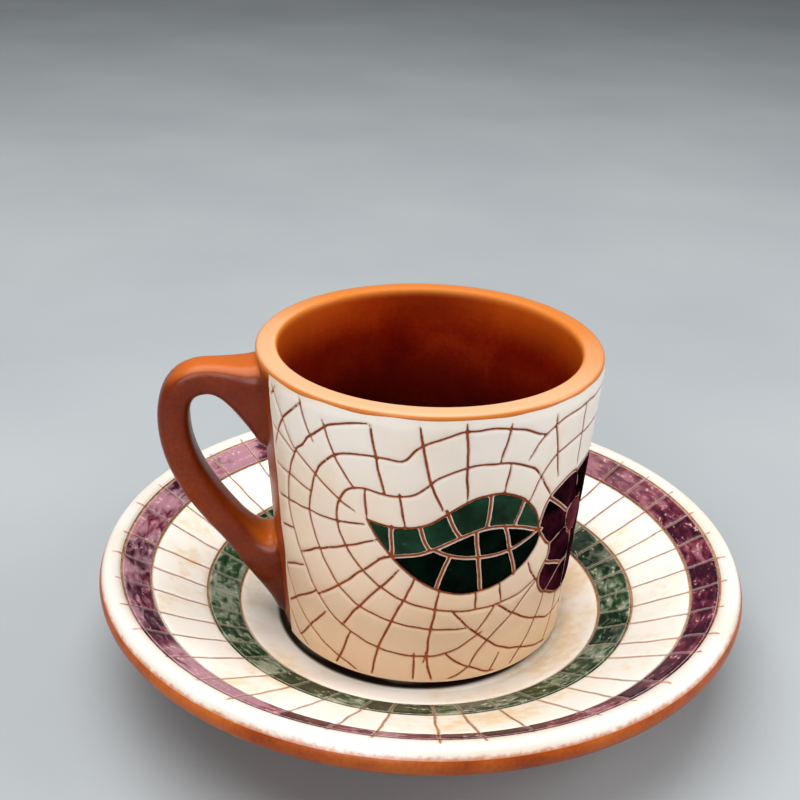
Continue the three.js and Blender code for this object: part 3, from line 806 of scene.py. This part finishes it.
def reach_of(line, places, half_width, taper=0.0):
    """The level of each place by one line: its distance less the line's half width there."""
    level = np.full(len(places), FAR)
    lengths = lengths_along(line)
    for i in range(0, len(line) - 1, SPAN):
        part = line[i:i + SPAN + 1]
        near = np.all((places > part.min(0) - NEAR) & (places < part.max(0) + NEAR), axis=1)
        spots = places[near][:, None]
        start, run = part[:-1], np.diff(part, axis=0)
        share = np.clip(((spots - start) * run).sum(2) / np.maximum((run**2).sum(1), 1e-9), 0, 1)
        away = np.linalg.norm(spots - start - share[..., None] * run, axis=2)
        along = lengths[i:i + len(run)] + share * np.linalg.norm(run, axis=1)
        ends = np.minimum(along, lengths[-1] - along)
        width = half_width * (1 - taper * np.clip(1 - ends / TAPER, 0, 1))
        if len(spots):
            level[near] = np.minimum(level[near], (away - width).min(1))
    return level


def inside_of(outline, places):
    """Distance to a closed outline: above zero inside it and below zero outside."""
    ring = np.vstack([outline, outline[:1]])
    level = reach_of(ring, places, 0.0)
    (x, y), hit = places.T, np.zeros(len(places), bool)
    for (ax, ay), (bx, by) in zip(ring, ring[1:]):
        if ay != by:
            hit ^= ((ay > y) != (by > y)) & (x < (bx - ax) * (y - ay) / (by - ay) + ax)
    return np.where(hit, level, -level)


strokes = [drawn(line, 0.25) for line in ROWS + CROSSINGS]
veins = [drawn(line, 0.15) for line in LEAF_VEINS + [leaf_midrib] + FLOWER_VEINS]
outlines = [drawn([*line, line[0]], 0.1) for line in (leaf_outline, HEART_RIM, *petal_outlines)]
print("scored length", round(sum(lengths_along(line)[-1] for line in strokes)), "mm")

# %% [markdown]
# ## Cutting a sheet along its lines
# A sheet starts as a fine grid. Each edge whose ends lie on both sides of a line is split just
# where the level is zero, and the new points are joined across their faces, so the cut is as
# smooth as the line. A boolean with swept blades would do the same, far more slowly.


# %% Sheets that can be cut
def flat_sheet(low, high, columns, rows):
    """A flat grid in millimetres: along x the turn, along y the height."""
    sheet = bmesh.new()
    bmesh.ops.create_grid(sheet, x_segments=columns, y_segments=rows, size=0.5)
    span = Vector((high[0] - low[0], high[1] - low[1], 0))
    for v in sheet.verts:
        v.co = Vector((low[0] + (v.co.x + 0.5) * span.x, low[1] + (v.co.y + 0.5) * span.y, 0))
    return sheet


def places_of(sheet):
    return np.array([v.co.xy for v in sheet.verts])


def only(kind, geometry):
    return [g for g in geometry if isinstance(g, kind)]


def open_edges(sheet):
    return [e for e in sheet.edges if e.is_boundary]


def sunk_faces(sheet, edge):
    return [f for f in sheet.faces if min(v[edge] for v in f.verts) < -1e-6]


def unevenness(spots):
    return np.array([noise.noise(spot) for spot in spots])


def cut_along(sheet, level):
    """Splits the sheet where the level is zero and keeps each point's level in the layer edge."""
    edge = sheet.verts.layers.float.new("edge")
    for v, value in zip(sheet.verts, level):
        v[edge] = value
    crossing = [e for e in sheet.edges if (e.verts[0][edge] < 0) != (e.verts[1][edge] < 0)]
    shares = {e: e.verts[0][edge] / (e.verts[0][edge] - e.verts[1][edge]) for e in crossing}
    split = bmesh.ops.bisect_edges(sheet, edges=crossing, cuts=1, edge_percents=shares)
    points = only(BMVert, split["geom_split"])
    for v in points:
        v[edge] = 0.0
    bmesh.ops.connect_verts(sheet, verts=points)
    return edge


def set_on(sheet, edge, place):
    """Moves a flat sheet to its place and keeps the distance to the edge within a millimetre."""
    moved = place([v.co for v in sheet.verts])
    for v, co in zip(sheet.verts, moved):
        v.co = co
        v[edge] = min(max(v[edge], 0.0), 1.0)


print("sheets are cut with", cut_along.__name__)

# %% [markdown]
# ## The slip coat
# The coat is one closed skin, half a millimetre thick, that stops short of the handle. Its sheet is
# halved near the strokes, so that thin lines stay whole and plain areas stay light. It is cut along
# every stroke, and the faces inside a stroke are sunk almost to the clay and take its finish, which
# leaves real grooves with steep walls. The tiles' edges are eased so that they catch a soft light.

# %% Lay and score the coat
COAT_LEFT, COAT_RIGHT = -67.5, 247.5
COAT_CELL = 0.64
FINE_REACH = 0.40
SLIP_LIFT = 0.50
GROOVE_LIFT = 0.17
BACK_LIFT = -0.25
BORDER = 0.45


def smooth_rise(value, length):
    t = np.clip(np.asarray(value) / length, 0, 1)
    return t * t * (3 - 2 * t)


def eased(edge, drop, length=0.5):
    """How much lower a tile lies at its edge, less and less inwards."""
    return drop * (1 - smooth_rise(edge, length))


def back_sheet(sheet, closed_ends):
    """Backs a flat sheet with long faces; its ends are closed, or left open to be joined."""
    low, high = (f(v.co.y for v in sheet.verts) for f in (min, max))

    def runs_along(e):
        return any(all(abs(v.co.y - y) < 1e-6 for v in e.verts) for y in (low, high))

    border = [e for e in open_edges(sheet) if closed_ends or runs_along(e)]
    made = bmesh.ops.extrude_edge_only(sheet, edges=border)["geom"]
    for v in only(BMVert, made):
        v.co.z = BACK_LIFT
    rim = [e for e in only(BMEdge, made) if all(v.co.z < 0 for v in e.verts)]
    bmesh.ops.bridge_loops(sheet, edges=[e for e in rim if runs_along(e)])
    if closed_ends:
        bmesh.ops.holes_fill(sheet, edges=open_edges(sheet))


def sink_grooves(sheet, grooves):
    """Extrudes the faces inside the strokes almost to the clay and gives them the second finish."""
    sunk = bmesh.ops.extrude_face_region(sheet, geom=grooves)["geom"]
    bmesh.ops.delete(sheet, geom=[f for f in grooves if f.is_valid], context="FACES")
    for v in only(BMVert, sunk):
        v.co.z = GROOVE_LIFT
    for f in only(BMFace, sunk):
        f.material_index = 1


coat_low = (COAT_LEFT * DEGREE, SLIP_LOW)
coat_high = (COAT_RIGHT * DEGREE, COAT_TOP)
coat_columns, coat_rows = (round((h - l) / COAT_CELL) for l, h in zip(coat_low, coat_high))
coat = flat_sheet(coat_low, coat_high, coat_columns, coat_rows)


def score_levels(places):
    """The level of each place by all the strokes, outlines and veins."""
    level = np.full(len(places), FAR)
    kinds = (strokes, SCORE_HALF, 0.3), (outlines, OUTLINE_HALF, 0.0), (veins, VEIN_HALF, 0.0)
    for lines, half, taper in kinds:
        for line in lines:
            level = np.minimum(level, reach_of(line, places, half, taper))
    return level


rough = dict(zip(coat.verts, score_levels(places_of(coat))))
near = [e for e in coat.edges if min(rough[v] for v in e.verts) < FINE_REACH]
bmesh.ops.subdivide_edges(coat, edges=near, cuts=1, use_grid_fill=True)
top_count = len(coat.verts)
places = places_of(coat)
level = score_levels(places)
level += unevenness([(x * 1.6, y * 1.6, 2.0) for x, y in places]) * 0.05
border_gap = np.minimum(places - coat_low, coat_high - places).min(1)
level = np.maximum(level, BORDER - border_gap)
print("coat grid", coat_columns, "by", coat_rows, "with", len(near), "edges halved")

# %% Back the coat, cut it and sink the grooves
back_sheet(coat, True)
level = np.concatenate([level, np.full(len(coat.verts) - top_count, FAR)])
edge = cut_along(coat, level)
grooves = sunk_faces(coat, edge)
for v in coat.verts:
    if v.co.z > BACK_LIFT / 2:
        v.co.z = SLIP_LIFT - eased(v[edge], 0.13)
sink_grooves(coat, grooves)


def coat_place(points):
    """Sets the coat on the wall with a wavy border, thinner towards the rim."""
    flat = np.array(points)
    around, height, lift = flat.T
    wave = unevenness([(a * 0.16, 3.0, 0.0) for a in around])
    side = unevenness([(9.0, h * 0.12, 1.0) for h in height])
    near_top = smooth_rise(height - (COAT_TOP - 2.0), 2.0)
    near_side = 1 - smooth_rise(np.minimum(around - coat_low[0], coat_high[0] - around), 3.0)
    height = height + near_top * wave * 0.3
    lift = np.where(lift > 0, lift * (1 - 0.5 * near_top), lift)
    return on_wall(np.column_stack([around + near_side * side, height, lift]))


set_on(coat, edge, coat_place)
bmesh.ops.dissolve_degenerate(coat, dist=3e-6, edges=coat.edges)
finish_piece(coat, "cup_slip_coat_scored", "cup", ["cup_slip_coat"], "white_slip",
             slip_cup, clay_scored)

# %% [markdown]
# ## Glaze in the leaf and the flower
# Each cell between the veins holds a thick drop of glaze with a rounded edge that stops just
# short of the scored line, so a thread of white slip shows on both sides. The cells are cut from
# a finer sheet in the same way; this time everything below level zero is thrown away.

# %% Fill the cells
GLAZE_CELL = 0.28
GLAZE_LIFT = 0.62
CELL_MARGIN = 0.20
CELL_BED, CELL_SINK = 0.02, 0.2
LEAF_GROW, FLOWER_GROW = -0.22, -0.42


def fill_cells(name, node, slot, material, outline, grow, clip=None, lift=GLAZE_LIFT):
    ring = drawn([*outline, outline[0]], 0.1)[:-1]
    low, high = ring.min(0) - 0.6, ring.max(0) + 0.6
    columns, rows = (int(math.ceil(s / GLAZE_CELL)) for s in high - low)
    sheet = flat_sheet(low, high, columns, rows)
    places = places_of(sheet)
    level = inside_of(ring, places) + grow
    for line in veins:
        level = np.minimum(level, reach_of(line, places, VEIN_HALF + CELL_MARGIN))
    if clip is not None:
        level = np.minimum(level, clip(places))
    level += unevenness([(x * 1.3, y * 1.3, 7.0) for x, y in places]) * 0.06
    edge = cut_along(sheet, level)
    bmesh.ops.delete(sheet, geom=sunk_faces(sheet, edge), context="FACES")
    for v in sheet.verts:
        v.co.z = SLIP_LIFT + CELL_BED + (lift - SLIP_LIFT) * smooth_rise(v[edge], 0.7)
    made = bmesh.ops.extrude_edge_only(sheet, edges=open_edges(sheet))["geom"]
    for v in only(BMVert, made):
        v.co.z = SLIP_LIFT - CELL_SINK
    bmesh.ops.holes_fill(sheet, edges=open_edges(sheet))
    set_on(sheet, edge, on_wall)
    return finish_piece(sheet, name, "cup", [node], slot, material)


rib = drawn(leaf_midrib, 0.15)


def above_rib(places):
    return places[:, 1] - np.interp(places[:, 0], rib[:, 0], rib[:, 1])


def below_rib(places):
    return -above_rib(places)


fill_cells("leaf_upper_cells", "leaf_upper_glaze", "green_glaze", leaf_green, leaf_outline,
           LEAF_GROW, above_rib)
fill_cells("leaf_lower_cells", "leaf_lower_glaze", "deep_green_glaze", leaf_deep, leaf_outline,
           LEAF_GROW, below_rib)
for i, outline in enumerate(petal_outlines, 1):
    fill_cells(f"flower_petal_{i}_cells", f"flower_petal_{i}", "dark_purple_glaze", petal_dark,
               outline, FLOWER_GROW)
fill_cells("flower_heart_drop", "flower_heart", "purple_glaze", heart_wine, HEART_RIM,
           FLOWER_GROW, lift=GLAZE_LIFT + 0.1)

# %% [markdown]
# ## The handle
# A pulled handle is a strap of clay, a little wider than thick, that swells where it is pressed on
# to the wall, with clay smoothed into the corners. Its middle line is two Bezier spans in the plane
# of the handle. A rounded section is extruded along it step by step, and each new ring is set at
# its own size, square to the line, and near the joints more and more in line with the wall.

# %% Pull the handle
HANDLE_THICK, HANDLE_WIDE = 6.2, 8.2
JOINT_SINK = 5.0
SECTION_CORNERS, SECTION_POWER = 32, 3.4
BELLY = np.array((-49.4, 52.65))
UPPER_JOINT, LOWER_JOINT = (np.array((-wall_radius(z), z)) for z in (59.2, 18.65))
UPPER_PULL, LOWER_PULL = np.array((-8.5, 3.6)), np.array((-11.0, 11.5))


def joint_end(joint, pull):
    return joint - pull / np.linalg.norm(pull) * JOINT_SINK


upper_end, lower_end = joint_end(UPPER_JOINT, UPPER_PULL), joint_end(LOWER_JOINT, LOWER_PULL)
strap = np.vstack([
    bezier(upper_end, UPPER_JOINT + UPPER_PULL, BELLY + (0, 11.0), BELLY, 200),
    bezier(BELLY, BELLY - (0, 12.3), LOWER_JOINT + LOWER_PULL, lower_end, 200),
])
strap_at = lengths_along(strap)
STATIONS = 72
stations = np.linspace(0, strap_at[-1], STATIONS)
middle_x, middle_z = (np.interp(stations, strap_at, strap[:, i]) for i in (0, 1))
from_upper, from_lower = stations - JOINT_SINK, strap_at[-1] - stations - JOINT_SINK
upper_swell, lower_swell = 1 - smooth_rise(from_upper, 10.0), 1 - smooth_rise(from_lower, 14.0)
thick = HANDLE_THICK + 2.6 * upper_swell + 3.0 * lower_swell
wide = HANDLE_WIDE + 5.2 * (upper_swell + lower_swell)
facing_upper, facing_lower = 1 - smooth_rise(from_upper, 9.0), 1 - smooth_rise(from_lower, 11.0)
run = unit(np.column_stack([np.gradient(middle_x), np.gradient(middle_z)]))
run = run * (1 - facing_upper - facing_lower)[:, None]
run[:, 0] += facing_lower - facing_upper
run = unit(run)


def fillet(depth, distance, reach):
    """How far clay pressed into a corner stands out, less and less away from the wall."""
    return depth * np.clip(1 - np.maximum(distance, 0) / reach, 0, 1) ** 3


inner_web = fillet(7.4, from_upper, 12.0) + fillet(4.6, from_lower, 11.0)
outer_web = fillet(1.4, from_upper, 6.0) + fillet(4.2, from_lower, 10.0)


def section_ring(k):
    """Where the section's corners stand at one station along the strap, in metres."""
    turns = np.linspace(0, math.tau, SECTION_CORNERS, endpoint=False)
    powers = np.abs(np.cos(turns)) ** SECTION_POWER + np.abs(np.sin(turns)) ** SECTION_POWER
    square = powers ** (-1 / SECTION_POWER)
    share = np.cos(turns) * square
    web = np.maximum(share, 0) * inner_web[k] + np.minimum(share, 0) * outer_web[k]
    out = share * thick[k] / 2 + web
    side = np.sin(turns) * square * wide[k] / 2
    x, z = middle_x[k] - run[k, 1] * out, middle_z[k] + run[k, 0] * out
    deepest = np.sqrt(np.maximum((wall_radius(z) - WALL / 2) ** 2 - side**2, 0))
    return np.column_stack([np.minimum(x, -deepest), side, z]) * MM


handle = bmesh.new()
start = bmesh.ops.create_circle(handle, segments=SECTION_CORNERS, radius=1.0, cap_ends=True)
for v, co in zip(start["verts"], section_ring(0)):
    v.co = co
cap = handle.faces[:]
for k in range(1, STATIONS):
    grown = bmesh.ops.extrude_face_region(handle, geom=cap)["geom"]
    if k > 1:
        bmesh.ops.delete(handle, geom=[f for f in cap if f.is_valid], context="FACES_ONLY")
    cap = only(BMFace, grown)
    last, following = section_ring(k - 1), section_ring(k)
    for v in cap[0].verts:
        v.co = following[np.linalg.norm(last - np.array(v.co), axis=1).argmin()]
bmesh.ops.recalc_face_normals(handle, faces=handle.faces)
finish_piece(handle, "cup_handle_pulled", "cup",
             ["cup_handle", "handle_upper_joint", "handle_lower_joint"], "red_clay", clay_pulled)

# %% [markdown]
# ## The saucer's body
# The saucer is thrown as well: a flat well, a flange that gets steeper outwards, a rolled lip and
# a foot ring underneath. Its upper line is kept by itself, because every layer on it follows that
# line at its own lift.

# %% Throw the saucer
SAUCER_RADIUS, SAUCER_TOP, SAUCER_THICK = 65.5, 22.3, 5.0
WELL_RADIUS, WELL_TOP, WELL_THICK = 30.0, 6.9, 4.4
FLANGE_SLOPE = 28.5
LIP = SAUCER_THICK / 2
SCORED_REACH = 61.8
SAUCER_STEPS = 180
lip_middle = (SAUCER_RADIUS - LIP, SAUCER_TOP - LIP)
slope = math.radians(FLANGE_SLOPE)
lip_x, lip_z = LIP * math.sin(slope), LIP * math.cos(slope)
flange_top = (lip_middle[0] - lip_x, lip_middle[1] + lip_z)
flange_under = (lip_middle[0] + lip_x, lip_middle[1] - lip_z)
flange_half = (WELL_RADIUS + flange_top[0]) / 2
flange_pull = (flange_half, flange_top[1] - (flange_top[0] - flange_half) * math.tan(slope))
under_pull = (flange_pull[0] + 2 * lip_x, flange_pull[1] - 2 * lip_z)
upper_line = [(0, WELL_TOP), (10, WELL_TOP), (20, WELL_TOP)]
upper_line += soft_corner((WELL_RADIUS, WELL_TOP), flange_pull, flange_top, 28)
upper_line += arc(lip_middle, LIP, 90 + FLANGE_SLOPE, 0, 14)[1:]
foot_out, foot_in = 38.5, 33.5
well_under = WELL_TOP - WELL_THICK
under_line = [(0, well_under), (15, well_under), (foot_in - 1.6, well_under)]
under_line += [(foot_in - 0.7, well_under - 0.3), (foot_in - 0.1, 0.4), (foot_in + 0.5, 0)]
under_line += [(foot_out - 1.3, 0), (foot_out - 0.7, 0.4)]
under_line += soft_corner((foot_out - 0.2, 3.6), (foot_out, 4.9), (foot_out + 1.6, 5.2), 5)
under_line += soft_corner((foot_out + 3.5, 5.6), under_pull, flange_under, 20)
under_line += arc(lip_middle, LIP, FLANGE_SLOPE - 90, 0, 10)[1:-1]
saucer = throw(under_line + upper_line[::-1], SAUCER_STEPS)
for f in saucer.faces:
    if f.normal.z > 0.3 and f.calc_center_median().xy.length < SCORED_REACH * MM:
        f.material_index = 1
finish_piece(saucer, "saucer_body_thrown", "saucer", ["saucer_body"], "red_clay",
             clay_thrown, ring_clay_scored)

# %% [markdown]
# ## The saucer's layers
# The rings are scored like the cup: circles between the colours, which are left open down to the
# clay, and some forty strokes from the green ring out past the purple one. A layer is a flat sheet
# of turn and length along the upper line, cut, sunk and then rolled up into its ring. The purple
# ring was drawn by hand and is only half as wide at the front.

# %% Roll a layer on to the saucer
upper = np.array(upper_line)
upper_at = lengths_along(upper)
upper_run = unit(np.gradient(upper, upper_at, axis=0))
GREEN_IN, GREEN_OUT, PURPLE_IN, PURPLE_OUT = 37.9, 44.4, 55.5, 61.2
LIP_BARE = 1.5
NARROW_IN, NARROW_OUT = 1.9, 1.1
HALF_GAP = 0.27
RING_BED = 0.03
RING_COLUMNS = 1008
SPOKES = 42
SPOKE_UNIT = 60.0
SPOKE_HALF = 0.23
spoke_turns = np.arange(SPOKES) * 360 / SPOKES + 180 / SPOKES + rng.uniform(-1.1, 1.1, SPOKES)
spoke_leans = rng.uniform(-1.0, 1.0, SPOKES)
spoke_ends = rng.uniform(61.6, 63.0, SPOKES)
spoke_starts = rng.uniform(36.6, 38.0, SPOKES)


def line_at(radius):
    """How far along the upper line a radius lies."""
    return float(np.interp(radius, upper[:, 0], upper_at))


def narrowed(along, turn):
    """Draws both edges of the purple ring closer at the front of the saucer."""
    knots = [line_at(GREEN_OUT) + 1, line_at(PURPLE_IN), line_at(PURPLE_OUT)]
    knots.append(upper_at[-1] - LIP_BARE)
    front = np.clip(-np.cos(turn), 0, 1) ** 2
    return along + np.interp(along, knots, [0, NARROW_IN, -NARROW_OUT, 0]) * front


def on_saucer(points):
    """Sets turn, length along the upper line and lift in place on the saucer, in metres."""
    around, along, lift = np.asarray(points).T
    turn = around / SPOKE_UNIT
    along = narrowed(along, turn)
    rx, rz = (np.interp(along, upper_at, upper_run[:, i]) for i in (0, 1))
    radius = np.interp(along, upper_at, upper[:, 0]) - rz * lift
    height = np.interp(along, upper_at, upper[:, 1]) + rx * lift
    return np.column_stack([radius * np.sin(turn), radius * np.cos(turn), height]) * MM


def spoke_levels(places):
    """The level of each place by the spokes, measured across them at its own radius."""
    radius = np.interp(places[:, 1], upper_at, upper[:, 0])
    turn = np.degrees(places[:, 0] / SPOKE_UNIT)
    level = np.full(len(places), FAR)
    knots = np.linspace(35, 66, 63)
    for at, lean, start, stop in zip(spoke_turns, spoke_leans, spoke_starts, spoke_ends):
        wobble = unevenness([(r * 0.25, at, 0.0) for r in knots])
        middle = at + lean * (radius - 50) / 12 + np.interp(radius, knots, wobble) * 0.35
        across = np.abs(np.radians((turn - middle + 180) % 360 - 180)) * radius
        beyond = np.maximum(np.maximum(start - radius, radius - stop), 0)
        half = (SPOKE_HALF - 0.02 * lean) * np.clip((stop - radius) / 2.0, 0.4, 1.0)
        level = np.minimum(level, np.hypot(across, beyond) - half)
    return level


def ring_layer(name, node, slot, material, inner, outer, lift, rows, thin_edge=False):
    low, high = (0.0, inner), (math.tau * SPOKE_UNIT, outer)
    sheet = flat_sheet(low, high, RING_COLUMNS, rows)
    top_count = len(sheet.verts)
    places = places_of(sheet)
    turns = places[:, 0] / SPOKE_UNIT
    spots = np.column_stack([np.sin(turns) * 70, np.cos(turns) * 70, places[:, 1]])
    level = spoke_levels(places) + unevenness(spots) * 0.07
    back_sheet(sheet, False)
    level = np.concatenate([level, np.full(len(sheet.verts) - top_count, FAR)])
    edge = cut_along(sheet, level)
    tile = sheet.verts.layers.float.new("tile")
    shades = rng.uniform(-1, 1, SPOKES)
    grooves = sunk_faces(sheet, edge)
    for v in sheet.verts:
        spoke = np.searchsorted(spoke_turns, math.degrees(v.co.x / SPOKE_UNIT))
        v[tile] = shades[spoke % SPOKES]
        if v.co.z > BACK_LIFT / 2:
            border = min(v.co.y - inner, outer - v.co.y)
            v[edge] = min(v[edge], (outer - v.co.y) * 0.45 if thin_edge else border)
            fade = smooth_rise(outer - v.co.y, 1.5) if thin_edge else 1.0
            v.co.z = RING_BED + (lift - RING_BED - eased(min(v[edge], border), 0.14)) * fade
    sink_grooves(sheet, grooves)
    set_on(sheet, edge, on_saucer)
    bmesh.ops.remove_doubles(sheet, verts=sheet.verts, dist=2e-6)
    bmesh.ops.recalc_face_normals(sheet, faces=sheet.faces)
    return finish_piece(sheet, name, "saucer", [node], slot, material, ring_clay_scored)


print("spokes", SPOKES, "upper line", round(upper_at[-1], 1), "mm long")

# %% Green, cream and purple rings and the lip
circles = [line_at(r) for r in (GREEN_IN, GREEN_OUT, PURPLE_IN, PURPLE_OUT)]
starts = [at + HALF_GAP for at in circles]
stops = [at - HALF_GAP for at in circles[1:]] + [upper_at[-1] - LIP_BARE]
ring_layer("saucer_green_tiles", "saucer_green_band", "green_glaze", ring_green,
           starts[0], stops[0], 0.6, 14)
ring_layer("saucer_cream_tiles", "saucer_cream_band", "white_slip", slip_saucer,
           starts[1], stops[1], 0.5, 20)
ring_layer("saucer_purple_tiles", "saucer_purple_band", "purple_glaze", ring_purple,
           starts[2], stops[2], 0.6, 14)
ring_layer("saucer_lip_coat", "saucer_lip_slip", "white_slip", slip_lip,
           starts[3], stops[3], 0.5, 18, thin_edge=True)

# %% [markdown]
# The well's slip has no strokes in it, so it is simply thrown: the same upper line, lifted by the
# thickness of the slip, with a rounded outer edge at the first scored circle.

# %% Coat the well
well_end = line_at(GREEN_IN) - HALF_GAP
well_at = np.linspace(0, line_at(WELL_RADIUS), 8)
well_at = np.concatenate([well_at, np.linspace(well_at[-1], well_end, 12)[1:]])
well_lift = 0.5 - eased(well_at[-1] - well_at, 0.16, 0.6)
flat = np.column_stack([np.zeros_like(well_at), well_at, well_lift])
over = on_saucer(flat) / MM
under = on_saucer(flat * (1, 1, 0) + (0, 0, -0.2)) / MM
well_profile = [(p[1], p[2]) for p in over] + [(p[1], p[2]) for p in under[::-1]]
well = throw(well_profile, CUP_STEPS)
well_edge = well.verts.layers.float.new("edge")
for v in well.verts:
    v[well_edge] = max(0.0, GREEN_IN - 0.4 - v.co.xy.length / MM)
finish_piece(well, "saucer_well_coat", "saucer", ["saucer_well_slip"], "white_slip", slip_well)

# %% [markdown]
# ## Floor and light
# The set stands on a plain pale table top under a wide, soft overhead light, which is what makes
# the flat faces bright and the upright ones half a tone darker, as in the picture.

# %% Light the set
stage_mesh = bmesh.new()
bmesh.ops.create_grid(stage_mesh, x_segments=8, y_segments=8, size=1.6)
floor_data = bpy.data.meshes.new("floor")
stage_mesh.to_mesh(floor_data)
stage_mesh.free()
floor = bpy.data.objects.new("floor", floor_data)
bpy.context.collection.objects.link(floor)
table = Finish("pale_table")
table_tone = table.noise(9.0, 3.0)
table_colour = table.ramp(table_tone, [(0.3, (0.30, 0.325, 0.345)), (0.7, (0.345, 0.37, 0.385))])
floor_data.materials.append(table.close(base_color=table_colour, roughness=0.55))


def soft_light(name, place, aim, size, power, colour):
    lamp = bpy.data.lights.new(name, "AREA")
    lamp.shape = "RECTANGLE"
    lamp.size, lamp.size_y = size
    lamp.energy = power
    lamp.color = colour
    holder = bpy.data.objects.new(name, lamp)
    bpy.context.collection.objects.link(holder)
    holder.location = place
    holder.rotation_euler = (Vector(aim) - Vector(place)).to_track_quat("-Z", "Y").to_euler()


soft_light("overhead", (-0.12, 0.05, 0.75), (0, 0, 0.04), (0.85, 0.75), 9.0, (1.0, 0.985, 0.96))
soft_light("front_fill", (-0.35, -0.75, 0.45), (0, 0, 0.04), (0.45, 0.45), 4.4, (1.0, 0.98, 0.96))
soft_light("right_fill", (0.75, -0.05, 0.40), (0, 0, 0.04), (0.3, 0.5), 4.6, (1.0, 0.99, 0.98))
world = bpy.data.worlds.new("studio")
world.use_nodes = True
world.node_tree.nodes["Background"].inputs["Color"].default_value = (0.80, 0.84, 0.88, 1)
world.node_tree.nodes["Background"].inputs["Strength"].default_value = 0.22
bpy.context.scene.world = world
bpy.context.scene.view_settings.view_transform = "Standard"
